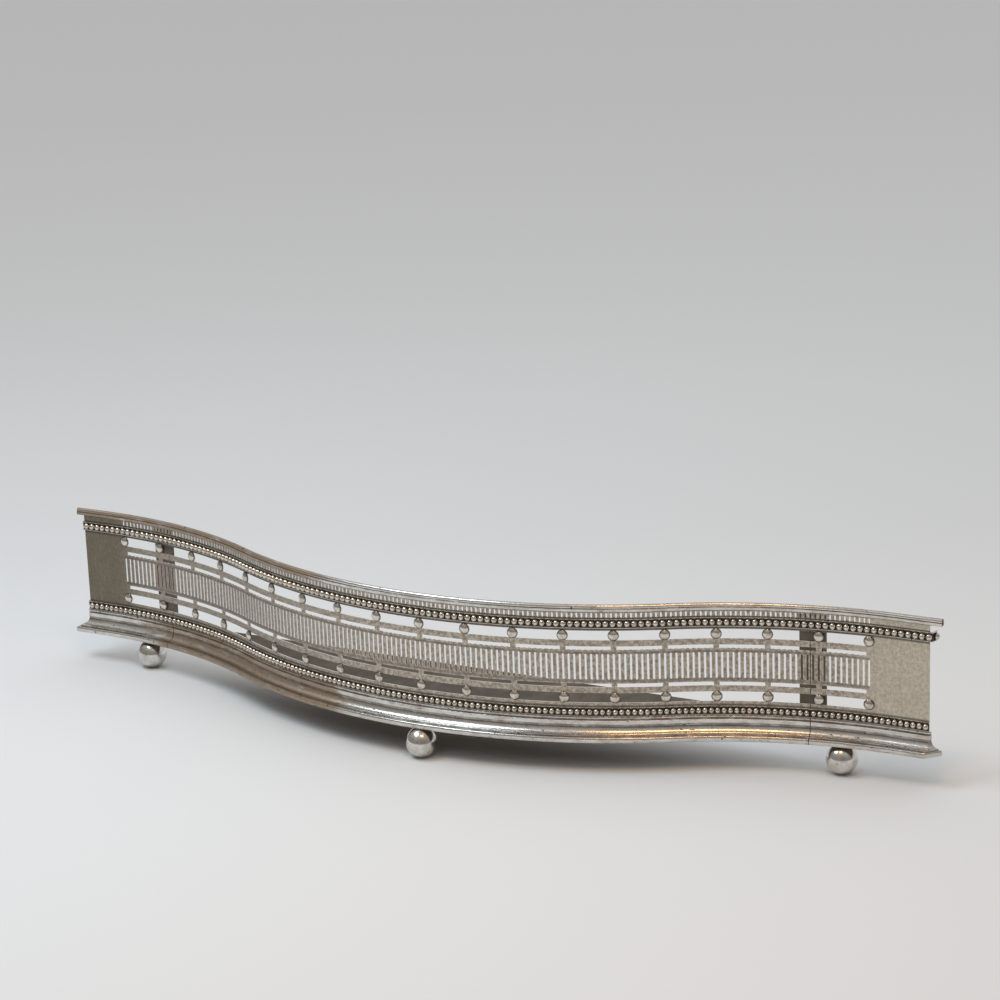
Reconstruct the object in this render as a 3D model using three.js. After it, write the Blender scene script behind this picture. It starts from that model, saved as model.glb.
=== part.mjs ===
// Serpentine fire fender: a pierced steel front on a moulded plinth, carried by three ball feet.
// Millimetres. X runs along the front, Y from front to back, Z up from the hearth.
// A place on the front is given by s, the distance along the curve from the crest (right is plus),
// by the offset forwards from the middle of the sheet, and by the height z.

import * as THREE from "three";

// Plan of the front
const CREST_RADIUS = 610; // bulging middle
const FLANK_RADIUS = 548; // hollow flanks, which run out into the straight ends
const SWEEP = THREE.MathUtils.degToRad(28.5); // turn of the crest arc, and back again on the flank
const END_LEFT = 63; // plain sheet beyond the first stud line
const END_RIGHT = 73.4; // plain sheet beyond the last stud line
const STATION_STEP = 20; // longest straight facet along the curve

// Clearances
const SEAT_GAP = 0.3; // between two pieces that touch
const SHANK_GAP = 0.4; // between a stud's shank and the flat of its hole
const SPIGOT_GAP = 0.3; // between a foot's spigot and its hole

// Feet and sole
const FOOT_RADIUS = 19.05;
const FOOT_FLAT = 4; // radius of the flats, on the hearth and against the sole
const FOOT_INSET = 33; // end feet, from the last stud line towards the crest
const CREST_FOOT_FORWARD = 7.5;
const SPIGOT_RADIUS = 3;
const SPIGOT_SHORT = 0.3; // below the top of the sole
const SOLE_THICKNESS = 2;
const SOLE_BACK = 8;

// Plinth, from the bottom up: lip, step, cove and fascia
const LIP_HEIGHT = 6.9;
const LIP_REACH = 4.4; // in front of the cove
const LIP_THICKNESS = 2.4;
const LIP_ROUND = 0.9;
const COVE_STEP = 1.8;
const COVE_HEIGHT = 10.3;
const COVE_DEPTH = 8.4;
const FASCIA_HEIGHT = 9.5;
const FASCIA_THICKNESS = 2.1;
const FASCIA_CHAMFER = 1.2;

// Beaded strips
const STRIP_HEIGHT = 12;
const STRIP_BASE = 0.8;
const STRIP_RIM = 0.7; // rise of the rims above the base
const STRIP_RIM_WIDTH = 1;
const LOWER_BEAD = 6.6;
const UPPER_BEAD = 7.2;
const LOWER_BEAD_GAP = 0.9; // from bead to bead
const UPPER_BEAD_GAP = 1.1;
const BEAD_END_GAP = 0.6; // from the last bead to an end or a corner
const BEAD_PROUD = 4.8; // above the base
const UPPER_STRIP_STANDOFF = 4.2; // of the right return from the end of the sheet

// Sheet and its stud lines
const SHEET = 1;
const BAYS = 18;
const BAY = 60;
const UPRIGHT = 6.7; // solid bar on each stud line

// Piercing, from the lower beaded strip up to the top rail
const BORDER_BELOW = 5.1;
const OPENING_HEIGHT = 12;
const BAND = 7.5;
const THIN_SLOT_HEIGHT = 4.5;
const LAND = 4.8;
const TALL_SLOT_HEIGHT = 32.2;
const TALL_SLOTS_PER_BAY = 9;
const TALL_SLOT_WIDTH = 2.4;
const BORDER_ABOVE = 3;
const GALLERY_FOOT = 0.9; // from the upper beaded strip to the gallery slots
const GALLERY_SLOT_HEIGHT = 6;
const GALLERY_SLOT_WIDTH = 2.3;
const GALLERY_PITCH = 5.8;
const GALLERY_HEAD = 1.85; // from the slots to the top rail
const LEAST_LAND = 0.7; // narrowest bar left at the end of a sheet

// Seams between the three sections, in tall slots from the second stud line of each end
const LEFT_SEAM_SLOTS = 2.5;
const RIGHT_SEAM_SLOTS = 1.5;
const STRAP_WIDTH = 32;
const STRAP_THICKNESS = 1.6;
const STRAP_INNER_EDGE = 23; // from the second stud line towards the crest

// Top rail: a roll on a flat base
const RAIL_BASE_WIDTH = 7.2;
const RAIL_BASE_HEIGHT = 3.9;
const RAIL_ROLL_RADIUS = 3.1;
const RAIL_ROLL_WRAP = THREE.MathUtils.degToRad(29); // how far the roll curves in below its middle
const RAIL_PAST_LEFT = 9;
const RAIL_PAST_RIGHT = 15;
const RAIL_GROOVE_DEPTH = 3.4;

// Hearth plate and its ledge
const PLATE_THICKNESS = 1.6;
const PLATE_DROP = 3.7; // of its upper face below the top of the plinth
const PLATE_TO_STRAP = 17;
const PLATE_BEHIND_ENDS = 1.7; // from the middle of the sheet's ends to the back edge
const LEDGE_INSET = 40; // from each end of the plate
const LEDGE_DEPTH = 12;
const LEDGE_HEIGHT = 12;
const LEDGE_THICKNESS = 1.6;

// Studs
const STUD_RADIUS = 6.6;
const STUD_EDGE = 0.6; // upright edge under the dome
const STUD_DOME = 2.9; // rise of the dome above its edge
const STUD_LIFT = 0.3; // middle of the stud above the middle of its opening
const SHANK_RADIUS = 1.2;
const SHANK_TAIL = 0.9;

// Facets
const STUD_SIDES = 6;
const STUD_DOME_STEPS = 2;
const FOOT_SIDES = 16;
const FOOT_ARC_STEPS = 8;
const COVE_STEPS = 3;
const ROLL_STEPS = 6;
const HOLE_STEPS = 6;

// ---------------------------------------------------------------- places worked out from the sizes

const FOOT_MIDDLE = Math.sqrt(FOOT_RADIUS ** 2 - FOOT_FLAT ** 2);
const SEAT_HEIGHT = 2 * FOOT_MIDDLE;
const PLINTH_BOTTOM = SEAT_HEIGHT + SEAT_GAP;
const LIP_TOP = PLINTH_BOTTOM + LIP_HEIGHT;
const COVE_BOTTOM = LIP_TOP + COVE_STEP;
const FASCIA_BOTTOM = COVE_BOTTOM + COVE_HEIGHT;
const PLINTH_TOP = FASCIA_BOTTOM + FASCIA_HEIGHT;
const LOWER_STRIP_BOTTOM = PLINTH_TOP + SEAT_GAP;
const LOWER_OPENING_BOTTOM = LOWER_STRIP_BOTTOM + STRIP_HEIGHT + BORDER_BELOW;
const LOWER_THIN_BOTTOM = LOWER_OPENING_BOTTOM + OPENING_HEIGHT + BAND;
const TALL_BOTTOM = LOWER_THIN_BOTTOM + THIN_SLOT_HEIGHT + LAND;
const UPPER_THIN_BOTTOM = TALL_BOTTOM + TALL_SLOT_HEIGHT + LAND;
const UPPER_OPENING_BOTTOM = UPPER_THIN_BOTTOM + THIN_SLOT_HEIGHT + BAND;
const UPPER_STRIP_BOTTOM = UPPER_OPENING_BOTTOM + OPENING_HEIGHT + BORDER_ABOVE;
const GALLERY_BOTTOM = UPPER_STRIP_BOTTOM + STRIP_HEIGHT + GALLERY_FOOT;
const RAIL_BOTTOM = GALLERY_BOTTOM + GALLERY_SLOT_HEIGHT + GALLERY_HEAD;
const RAIL_BASE_TOP = RAIL_BOTTOM + RAIL_BASE_HEIGHT;
const GROOVE_TOP = RAIL_BOTTOM + RAIL_GROOVE_DEPTH;
const SHEET_TOP = GROOVE_TOP - SEAT_GAP;
const SOLE_TOP = PLINTH_BOTTOM + SOLE_THICKNESS;
const SHEET_BOTTOM = SOLE_TOP + SEAT_GAP;
const PLATE_TOP = PLINTH_TOP - PLATE_DROP;

const HALF_SHEET = SHEET / 2;
const FACE = HALF_SHEET + SEAT_GAP; // where a piece on the sheet begins, in front or behind
const FASCIA_FRONT = FACE + FASCIA_THICKNESS;
const COVE_FRONT = FASCIA_FRONT + COVE_DEPTH;
const LIP_FRONT = COVE_FRONT + LIP_REACH;

const FIRST_STUD = (-BAYS * BAY) / 2;
const LAST_STUD = -FIRST_STUD;
const LEFT_END = FIRST_STUD - END_LEFT;
const RIGHT_END = LAST_STUD + END_RIGHT;
const LEFT_CORNER = LEFT_END + HALF_SHEET; // where a moulding turns round the end of the sheet
const RIGHT_CORNER = RIGHT_END - HALF_SHEET;
const TALL_PITCH = BAY / TALL_SLOTS_PER_BAY;
const LEFT_SEAM = FIRST_STUD + BAY + LEFT_SEAM_SLOTS * TALL_PITCH;
const RIGHT_SEAM = LAST_STUD - BAY - RIGHT_SEAM_SLOTS * TALL_PITCH;
const PLATE_REACH = LAST_STUD - BAY - STRAP_INNER_EDGE - PLATE_TO_STRAP;
const LOWER_STUD_HEIGHT = LOWER_OPENING_BOTTOM + OPENING_HEIGHT / 2 + STUD_LIFT;
const UPPER_STUD_HEIGHT = UPPER_OPENING_BOTTOM + OPENING_HEIGHT / 2 + STUD_LIFT;
const SHANK_HOLE = 2 * (SHANK_RADIUS + SHANK_GAP);

const SECTIONS = [
  { name: "left", from: LEFT_END, to: LEFT_SEAM - SEAT_GAP / 2 },
  { name: "centre", from: LEFT_SEAM + SEAT_GAP / 2, to: RIGHT_SEAM - SEAT_GAP / 2 },
  { name: "right", from: RIGHT_SEAM + SEAT_GAP / 2, to: RIGHT_END },
];

// Point of the curve at s, with its forward normal
function plan(s) {
  const crest = CREST_RADIUS * SWEEP;
  const flank = FLANK_RADIUS * SWEEP;
  const t = Math.abs(s);
  const side = Math.sign(s);
  const onCrest = Math.min(t, crest) / CREST_RADIUS;
  const onFlank = Math.min(Math.max(t - crest, 0), flank) / FLANK_RADIUS;
  const straight = Math.max(t - crest - flank, 0);
  const turn = onCrest - onFlank;
  let x = CREST_RADIUS * Math.sin(onCrest);
  let y = CREST_RADIUS * (1 - Math.cos(onCrest));
  x += FLANK_RADIUS * (Math.sin(onCrest) - Math.sin(turn));
  y += FLANK_RADIUS * (Math.cos(turn) - Math.cos(onCrest));
  x += straight * Math.cos(turn);
  y += straight * Math.sin(turn);
  return { x: side * x, y, nx: side * Math.sin(turn), ny: -Math.cos(turn) };
}

// Plan point at s and offset, straight on past the ends
function along(s, offset) {
  const p = plan(s);
  return [p.x + p.nx * offset, p.y + p.ny * offset];
}

// The same path, but turning back at two corners, with the offset mitred on each
function returning(leftCorner, rightCorner) {
  return (s, offset) => {
    const outward = Math.sign(s);
    const corner = s < 0 ? leftCorner : rightCorner;
    const past = (s - corner) * outward;
    if (past < 0) {
      return along(s, offset);
    }
    const p = plan(corner);
    const forward = past > 0 ? -past : offset;
    return [
      p.x - outward * p.ny * offset + p.nx * forward,
      p.y + outward * p.nx * offset + p.ny * forward,
    ];
  };
}

// Adds even stations wherever two marks lie further apart than STATION_STEP
function withStations(marks) {
  const sorted = [...new Set(marks)].sort((a, b) => a - b);
  const result = [sorted[0]];
  for (let i = 1; i < sorted.length; i += 1) {
    const start = sorted[i - 1];
    const span = sorted[i] - start;
    const parts = Math.ceil(span / STATION_STEP - 1e-9);
    for (let k = 1; k < parts; k += 1) {
      result.push(start + (span * k) / parts);
    }
    result.push(sorted[i]);
  }
  return result;
}

// A closed surface, built corner by corner
class Shell {
  constructor(path) {
    this.path = path;
    this.positions = [];
    this.faces = [];
    this.known = new Map();
  }

  corner(s, offset, z) {
    const key = `${s.toFixed(5)} ${offset.toFixed(5)} ${z.toFixed(5)}`;
    if (!this.known.has(key)) {
      const [x, y] = this.path(s, offset);
      this.known.set(key, this.positions.length / 3);
      this.positions.push(x, y, z);
    }
    return this.known.get(key);
  }

  triangle(a, b, c) {
    this.faces.push(a, b, c);
  }

  quad(a, b, c, d) {
    this.faces.push(a, b, c, a, c, d);
  }

  // Joins a lower row of marks to an upper row, each with its own offset; facing is +1 for the front
  zip(lower, upper, facing) {
    const row = (line) => line.marks.map((s) => this.corner(s, line.offset, line.z));
    const low = row(lower);
    const high = row(upper);
    let i = 0;
    let j = 0;
    while (i < low.length - 1 || j < high.length - 1) {
      const lowNext = i < low.length - 1 ? lower.marks[i + 1] : Infinity;
      const highNext = j < high.length - 1 ? upper.marks[j + 1] : Infinity;
      const onLow = lowNext <= highNext;
      const third = onLow ? low[i + 1] : high[j + 1];
      if (facing > 0) {
        this.triangle(low[i], third, high[j]);
      } else {
        this.triangle(low[i], high[j], third);
      }
      i += onLow ? 1 : 0;
      j += onLow ? 0 : 1;
    }
  }

  // Closes an end with a flat outline of [offset, z] points; facing is +1 towards plus s
  cap(outline, s, facing) {
    const points = outline.map(([offset, z]) => new THREE.Vector2(offset, z));
    const corners = outline.map(([offset, z]) => this.corner(s, offset, z));
    for (const [a, b, c] of THREE.ShapeUtils.triangulateShape(points, [])) {
      if (facing > 0) {
        this.triangle(corners[a], corners[c], corners[b]);
      } else {
        this.triangle(corners[a], corners[b], corners[c]);
      }
    }
  }

  geometry() {
    const geometry = new THREE.BufferGeometry();
    geometry.setAttribute("position", new THREE.Float32BufferAttribute(this.positions, 3));
    geometry.setIndex(this.faces);
    geometry.computeVertexNormals();
    return geometry;
  }
}

// ---------------------------------------------------------------- pierced sheet

// Openings that fall on a sheet, cut off at its ends
function clipped(openings, from, to) {
  const result = [];
  for (const [low, high] of openings) {
    const a = low - from < LEAST_LAND ? from : low;
    const b = to - high < LEAST_LAND ? to : high;
    if (high - from > LEAST_LAND && to - low > LEAST_LAND) {
      result.push([a, b]);
    }
  }
  return result.sort((p, q) => p[0] - q[0]);
}

// Solid stretches between the openings of one band
function solids(openings, from, to) {
  const result = [];
  let start = from;
  for (const [low, high] of openings) {
    if (low > start) {
      result.push([start, low]);
    }
    start = high;
  }
  if (to > start) {
    result.push([start, to]);
  }
  return result;
}

// Curved sheet between two offsets, built up of bands; each band has a top and its openings
function sheet(from, to, front, back, bottom, bands) {
  const shell = new Shell(along);
  const levels = [bottom, ...bands.map((band) => band.top)];
  const open = bands.map((band) => clipped(band.openings ?? [], from, to));
  const solid = open.map((openings) => solids(openings, from, to));
  const marks = levels.map((_, k) => {
    const edges = [...(open[k - 1] ?? []), ...(open[k] ?? [])].flat();
    return withStations([from, to, ...edges]);
  });
  const isSolid = (k, s) => (solid[k] ?? []).some(([a, b]) => a < s && s < b);

  solid.forEach((stretches, k) => {
    for (const [a, b] of stretches) {
      const within = (s) => s >= a && s <= b;
      const lower = { marks: marks[k].filter(within), z: levels[k] };
      const upper = { marks: marks[k + 1].filter(within), z: levels[k + 1] };
      shell.zip({ ...lower, offset: front }, { ...upper, offset: front }, 1);
      shell.zip({ ...lower, offset: back }, { ...upper, offset: back }, -1);
      const [f0, f1] = [lower.z, upper.z].map((z) => shell.corner(a, front, z));
      const [b0, b1] = [lower.z, upper.z].map((z) => shell.corner(a, back, z));
      shell.quad(b0, f0, f1, b1);
      const [g0, g1] = [lower.z, upper.z].map((z) => shell.corner(b, front, z));
      const [c0, c1] = [lower.z, upper.z].map((z) => shell.corner(b, back, z));
      shell.quad(g0, c0, c1, g1);
    }
  });

  marks.forEach((row, k) => {
    for (let i = 1; i < row.length; i += 1) {
      const [p, q] = [row[i - 1], row[i]];
      const below = isSolid(k - 1, (p + q) / 2);
      const above = isSolid(k, (p + q) / 2);
      const [fp, fq] = [p, q].map((s) => shell.corner(s, front, levels[k]));
      const [bp, bq] = [p, q].map((s) => shell.corner(s, back, levels[k]));
      if (below && !above) {
        shell.quad(fp, fq, bq, bp);
      } else if (above && !below) {
        shell.quad(bp, bq, fq, fp);
      }
    }
  });
  return shell.geometry();
}

const studLines = Array.from({ length: BAYS + 1 }, (_, k) => FIRST_STUD + k * BAY);
const studHoles = studLines.map((s) => [s - SHANK_HOLE / 2, s + SHANK_HOLE / 2]);
const bayOpenings = studLines.slice(1).map((s) => [s - BAY + UPRIGHT / 2, s - UPRIGHT / 2]);

function slots(pitch, width) {
  const count = Math.round((BAYS * BAY) / pitch);
  return Array.from({ length: count + 1 }, (_, i) => {
    const middle = FIRST_STUD + (i * BAYS * BAY) / count;
    return [middle - width / 2, middle + width / 2];
  });
}

// A row of wide openings, with the stud holes in the uprights between them
function studRow(bottom, studHeight) {
  return [
    { top: bottom },
    { top: studHeight - SHANK_HOLE / 2, openings: bayOpenings },
    { top: studHeight + SHANK_HOLE / 2, openings: [...bayOpenings, ...studHoles] },
    { top: bottom + OPENING_HEIGHT, openings: bayOpenings },
  ];
}

function slotRow(bottom, height, openings) {
  return [{ top: bottom }, { top: bottom + height, openings }];
}

const FRONT_BANDS = [
  ...studRow(LOWER_OPENING_BOTTOM, LOWER_STUD_HEIGHT),
  ...slotRow(LOWER_THIN_BOTTOM, THIN_SLOT_HEIGHT, bayOpenings),
  ...slotRow(TALL_BOTTOM, TALL_SLOT_HEIGHT, slots(TALL_PITCH, TALL_SLOT_WIDTH)),
  ...slotRow(UPPER_THIN_BOTTOM, THIN_SLOT_HEIGHT, bayOpenings),
  ...studRow(UPPER_OPENING_BOTTOM, UPPER_STUD_HEIGHT),
  ...slotRow(GALLERY_BOTTOM, GALLERY_SLOT_HEIGHT, slots(GALLERY_PITCH, GALLERY_SLOT_WIDTH)),
  { top: SHEET_TOP },
];

function frontSheet(section) {
  return sheet(section.from, section.to, HALF_SHEET, -HALF_SHEET, SHEET_BOTTOM, FRONT_BANDS);
}

// Splice strap across a seam, behind the sheet; the studs of its stud line pass through it
function strap(side) {
  const stud = side * (LAST_STUD - BAY);
  const edges = [stud - side * STRAP_INNER_EDGE, stud + side * (STRAP_WIDTH - STRAP_INNER_EDGE)];
  const hole = [[stud - SHANK_HOLE / 2, stud + SHANK_HOLE / 2]];
  const bands = [
    { top: LOWER_STUD_HEIGHT - SHANK_HOLE / 2 },
    { top: LOWER_STUD_HEIGHT + SHANK_HOLE / 2, openings: hole },
    { top: UPPER_STUD_HEIGHT - SHANK_HOLE / 2 },
    { top: UPPER_STUD_HEIGHT + SHANK_HOLE / 2, openings: hole },
    { top: RAIL_BOTTOM - SEAT_GAP },
  ];
  const back = -FACE - STRAP_THICKNESS;
  return sheet(Math.min(...edges), Math.max(...edges), -FACE, back, SHEET_BOTTOM, bands);
}

// ---------------------------------------------------------------- mouldings

// Sweeps a closed outline of [offset, z] points, anticlockwise, along the marks of a path
function moulding(outline, marks, path) {
  const shell = new Shell(path);
  for (let i = 1; i < marks.length; i += 1) {
    outline.forEach(([offset, z], j) => {
      const [nextOffset, nextZ] = outline[(j + 1) % outline.length];
      shell.quad(
        shell.corner(marks[i - 1], offset, z),
        shell.corner(marks[i], offset, z),
        shell.corner(marks[i], nextOffset, nextZ),
        shell.corner(marks[i - 1], nextOffset, nextZ),
      );
    });
  }
  shell.cap(outline, marks[0], -1);
  shell.cap(outline, marks[marks.length - 1], 1);
  return shell.geometry();
}

// Roll on a flat base, with a groove underneath for the top of the sheet
function topRail() {
  const half = RAIL_BASE_WIDTH / 2;
  const rollMiddle = RAIL_BASE_TOP + RAIL_ROLL_RADIUS * Math.sin(RAIL_ROLL_WRAP);
  const roll = Array.from({ length: ROLL_STEPS + 1 }, (_, i) => {
    const angle = -RAIL_ROLL_WRAP + (Math.PI + 2 * RAIL_ROLL_WRAP) * (i / ROLL_STEPS);
    return [RAIL_ROLL_RADIUS * Math.cos(angle), rollMiddle + RAIL_ROLL_RADIUS * Math.sin(angle)];
  });
  const outline = [
    [-half, RAIL_BOTTOM],
    [-FACE, RAIL_BOTTOM],
    [-FACE, GROOVE_TOP],
    [FACE, GROOVE_TOP],
    [FACE, RAIL_BOTTOM],
    [half, RAIL_BOTTOM],
    [half, RAIL_BASE_TOP],
    ...roll,
    [-half, RAIL_BASE_TOP],
  ];
  const marks = withStations([LEFT_END - RAIL_PAST_LEFT, RIGHT_END + RAIL_PAST_RIGHT]);
  return moulding(outline, marks, along);
}

// Fascia, cove and lip. The lip hangs down in front of the sole.
function plinthOutline() {
  const cove = Array.from({ length: COVE_STEPS + 1 }, (_, i) => {
    const angle = (Math.PI / 2) * (i / COVE_STEPS);
    return [COVE_FRONT - COVE_DEPTH * Math.sin(angle), FASCIA_BOTTOM - COVE_HEIGHT * Math.cos(angle)];
  });
  return [
    [FACE, SHEET_BOTTOM],
    [LIP_FRONT - LIP_THICKNESS, SHEET_BOTTOM],
    [LIP_FRONT - LIP_THICKNESS, PLINTH_BOTTOM],
    [LIP_FRONT - LIP_ROUND, PLINTH_BOTTOM],
    [LIP_FRONT, (PLINTH_BOTTOM + LIP_TOP) / 2],
    [LIP_FRONT - LIP_ROUND, LIP_TOP],
    [COVE_FRONT + LIP_ROUND, LIP_TOP],
    ...cove,
    [FASCIA_FRONT, PLINTH_TOP - FASCIA_CHAMFER],
    [FASCIA_FRONT - FASCIA_CHAMFER, PLINTH_TOP],
    [FACE, PLINTH_TOP],
  ];
}

function plinth(section) {
  const marks = [section.from, section.to];
  if (section.name === "left") {
    marks.splice(0, 1, LEFT_CORNER - SHEET, LEFT_CORNER);
  }
  if (section.name === "right") {
    marks.splice(1, 1, RIGHT_CORNER, RIGHT_CORNER + SHEET);
  }
  const path = returning(LEFT_CORNER, RIGHT_CORNER);
  return moulding(plinthOutline(), withStations(marks), path);
}

// ---------------------------------------------------------------- beaded strips

// Middles of the beads of a straight run, spread evenly
function beadRow(from, to, toEnd, pitch) {
  const first = from + toEnd;
  const length = to - from - 2 * toEnd;
  const count = Math.round(length / pitch);
  return Array.from({ length: count + 1 }, (_, i) => first + (length * i) / count);
}

// Trough with raised rims and a row of beads, soldered to the face of the sheet. Where it turns
// round an end, the return carries one bead.
function beadStrip({ from, to, bottom, bead, gap, turnsLeft, turnsRight }) {
  const shell = new Shell(returning(turnsLeft ? from : -Infinity, turnsRight ? to : Infinity));
  const floor = FACE + STRIP_BASE;
  const rim = floor + STRIP_RIM;
  const middle = bottom + STRIP_HEIGHT / 2;
  const top = bottom + STRIP_HEIGHT;
  const toEnd = bead / 2 + BEAD_END_GAP;
  const middles = beadRow(from, to, toEnd, bead + gap);
  let [start, end] = [from, to];
  if (turnsLeft) {
    middles.unshift(from - toEnd);
    start = from - 2 * toEnd;
  }
  if (turnsRight) {
    middles.push(to + toEnd);
    end = to + 2 * toEnd;
  }
  const beadStarts = new Set(middles.map((s) => s - bead / 2));
  const beadEdges = middles.flatMap((s) => [s - bead / 2, s + bead / 2]);
  const coarse = withStations([start, from, to, end]);
  const fine = [...new Set([start, from, ...beadEdges, to, end])].sort((a, b) => a - b);
  const rows = [
    { marks: coarse, offset: rim, z: bottom },
    { marks: coarse, offset: rim, z: bottom + STRIP_RIM_WIDTH },
    { marks: fine, offset: floor, z: middle - bead / 2 },
    { marks: fine, offset: floor, z: middle + bead / 2 },
    { marks: coarse, offset: rim, z: top - STRIP_RIM_WIDTH },
    { marks: coarse, offset: rim, z: top },
  ];
  const [, , low, high] = rows;
  for (const k of [0, 1, 3, 4]) {
    shell.zip(rows[k], rows[k + 1], 1);
  }
  for (let i = 1; i < fine.length; i += 1) {
    const [p, q] = [fine[i - 1], fine[i]];
    const [a, b] = [p, q].map((s) => shell.corner(s, floor, low.z));
    const [d, c] = [p, q].map((s) => shell.corner(s, floor, high.z));
    if (beadStarts.has(p)) {
      const peak = shell.corner((p + q) / 2, floor + BEAD_PROUD, middle);
      [[a, b], [b, c], [c, d], [d, a]].forEach(([m, n]) => shell.triangle(m, n, peak));
    } else {
      shell.quad(a, b, c, d);
    }
  }
  shell.zip({ marks: coarse, offset: FACE, z: bottom }, { marks: coarse, offset: FACE, z: top }, -1);
  for (let i = 1; i < coarse.length; i += 1) {
    const [p, q] = [coarse[i - 1], coarse[i]];
    const edge = (z) => [
      shell.corner(p, rim, z),
      shell.corner(q, rim, z),
      shell.corner(q, FACE, z),
      shell.corner(p, FACE, z),
    ];
    shell.quad(...edge(top));
    shell.quad(...edge(bottom).reverse());
  }
  const outline = [[FACE, bottom], ...rows.map((row) => [row.offset, row.z]), [FACE, top]];
  shell.cap(outline, start, -1);
  shell.cap(outline, end, 1);
  return shell.geometry();
}

function upperStrip() {
  return beadStrip({
    from: LEFT_CORNER,
    to: RIGHT_CORNER + UPPER_STRIP_STANDOFF,
    bottom: UPPER_STRIP_BOTTOM,
    bead: UPPER_BEAD,
    gap: UPPER_BEAD_GAP,
    turnsLeft: true,
    turnsRight: true,
  });
}

function lowerStrip(section) {
  const turnsLeft = section.name === "left";
  return beadStrip({
    from: turnsLeft ? LEFT_CORNER : section.from,
    to: section.to,
    bottom: LOWER_STRIP_BOTTOM,
    bead: LOWER_BEAD,
    gap: LOWER_BEAD_GAP,
    turnsLeft,
    turnsRight: false,
  });
}

// ---------------------------------------------------------------- turned pieces

// Arc of [radius, height] points on a ball, from one height to another
function ballArc(radius, middle, from, to, steps) {
  const latitude = (height) => Math.asin(THREE.MathUtils.clamp((height - middle) / radius, -1, 1));
  const start = latitude(from);
  const end = latitude(to);
  return Array.from({ length: steps + 1 }, (_, i) => {
    const angle = start + ((end - start) * i) / steps;
    return [radius * Math.cos(angle), middle + radius * Math.sin(angle)];
  });
}

function turned(profile, sides) {
  const points = profile.map(([radius, height]) => new THREE.Vector2(radius, height));
  return new THREE.LatheGeometry(points, sides);
}

// Dome-headed stud, turned about its own axis; height 0 is the middle of the sheet
function stud(shankEnd) {
  const ballRadius = (STUD_RADIUS ** 2 + STUD_DOME ** 2) / (2 * STUD_DOME);
  const edgeTop = FACE + STUD_EDGE;
  const top = edgeTop + STUD_DOME;
  const dome = ballArc(ballRadius, top - ballRadius, edgeTop, top, STUD_DOME_STEPS);
  dome[STUD_DOME_STEPS][0] = 0;
  const shank = [[0, shankEnd], [SHANK_RADIUS, shankEnd], [SHANK_RADIUS, FACE]];
  return turned([...shank, [STUD_RADIUS, FACE], ...dome], STUD_SIDES);
}

// Ball foot with a flat to stand on, a flat seat against the sole and a spigot riveted into it
function foot() {
  const ball = ballArc(FOOT_RADIUS, FOOT_MIDDLE, 0, SEAT_HEIGHT, FOOT_ARC_STEPS);
  const top = SOLE_TOP - SPIGOT_SHORT;
  const spigot = [[SPIGOT_RADIUS, SEAT_HEIGHT], [SPIGOT_RADIUS, top], [0, top]];
  return turned([[0, 0], ...ball, ...spigot], FOOT_SIDES);
}

// ---------------------------------------------------------------- flat pieces seen in plan

function footPlaces() {
  return {
    left: along(FIRST_STUD + FOOT_INSET, 0),
    crest: along(0, CREST_FOOT_FORWARD),
    right: along(LAST_STUD - FOOT_INSET, 0),
  };
}

function offsetLine(from, to, offset) {
  return withStations([from, to]).map((s) => new THREE.Vector2(...along(s, offset)));
}

function soleStrip() {
  const front = LIP_FRONT - LIP_THICKNESS - SEAT_GAP;
  const outline = [
    ...offsetLine(LEFT_END, RIGHT_END, front),
    ...offsetLine(LEFT_END, RIGHT_END, -SOLE_BACK).reverse(),
  ];
  const shape = new THREE.Shape(outline);
  for (const [x, y] of Object.values(footPlaces())) {
    const hole = new THREE.Path();
    hole.absarc(x, y, SPIGOT_RADIUS + SPIGOT_GAP, 0, 2 * Math.PI, true);
    shape.holes.push(hole);
  }
  return slab(shape, PLINTH_BOTTOM, SOLE_THICKNESS);
}

function hearthPlate() {
  const front = offsetLine(-PLATE_REACH, PLATE_REACH, -FACE);
  const backEdge = Math.max(plan(LEFT_END).y, plan(RIGHT_END).y) + PLATE_BEHIND_ENDS;
  const back = [front[front.length - 1], front[0]].map((p) => new THREE.Vector2(p.x, backEdge));
  return slab(new THREE.Shape([...front, ...back]), PLATE_TOP - PLATE_THICKNESS, PLATE_THICKNESS);
}

function slab(shape, bottom, thickness) {
  const settings = { depth: thickness, bevelEnabled: false, curveSegments: HOLE_STEPS };
  return new THREE.ExtrudeGeometry(shape, settings).translate(0, 0, bottom);
}

// Angle strip behind the front, under the hearth plate
function plateLedge() {
  const top = PLATE_TOP - PLATE_THICKNESS - SEAT_GAP;
  const outline = [
    [-FACE - LEDGE_DEPTH, top - LEDGE_THICKNESS],
    [-FACE - LEDGE_THICKNESS, top - LEDGE_THICKNESS],
    [-FACE - LEDGE_THICKNESS, top - LEDGE_HEIGHT],
    [-FACE, top - LEDGE_HEIGHT],
    [-FACE, top],
    [-FACE - LEDGE_DEPTH, top],
  ];
  const reach = PLATE_REACH - LEDGE_INSET;
  return moulding(outline, withStations([-reach, reach]), along);
}

// ---------------------------------------------------------------- assembly

const wornSteel = { color: 0x8c857b, roughness: 0.42 };
const polishedMoulding = { color: 0x97908a, roughness: 0.28 };
const beadedSteel = { color: 0x8a8378, roughness: 0.3 };
const brightSteel = { color: 0xc2beb9, roughness: 0.1 };
const darkSteel = { color: 0x4c4741, roughness: 0.62 };

const fender = new THREE.Group();

function add(name, geometry, finish) {
  const mesh = new THREE.Mesh(geometry, new THREE.MeshStandardMaterial({ ...finish, metalness: 1 }));
  mesh.name = name;
  fender.add(mesh);
  return mesh;
}

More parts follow.
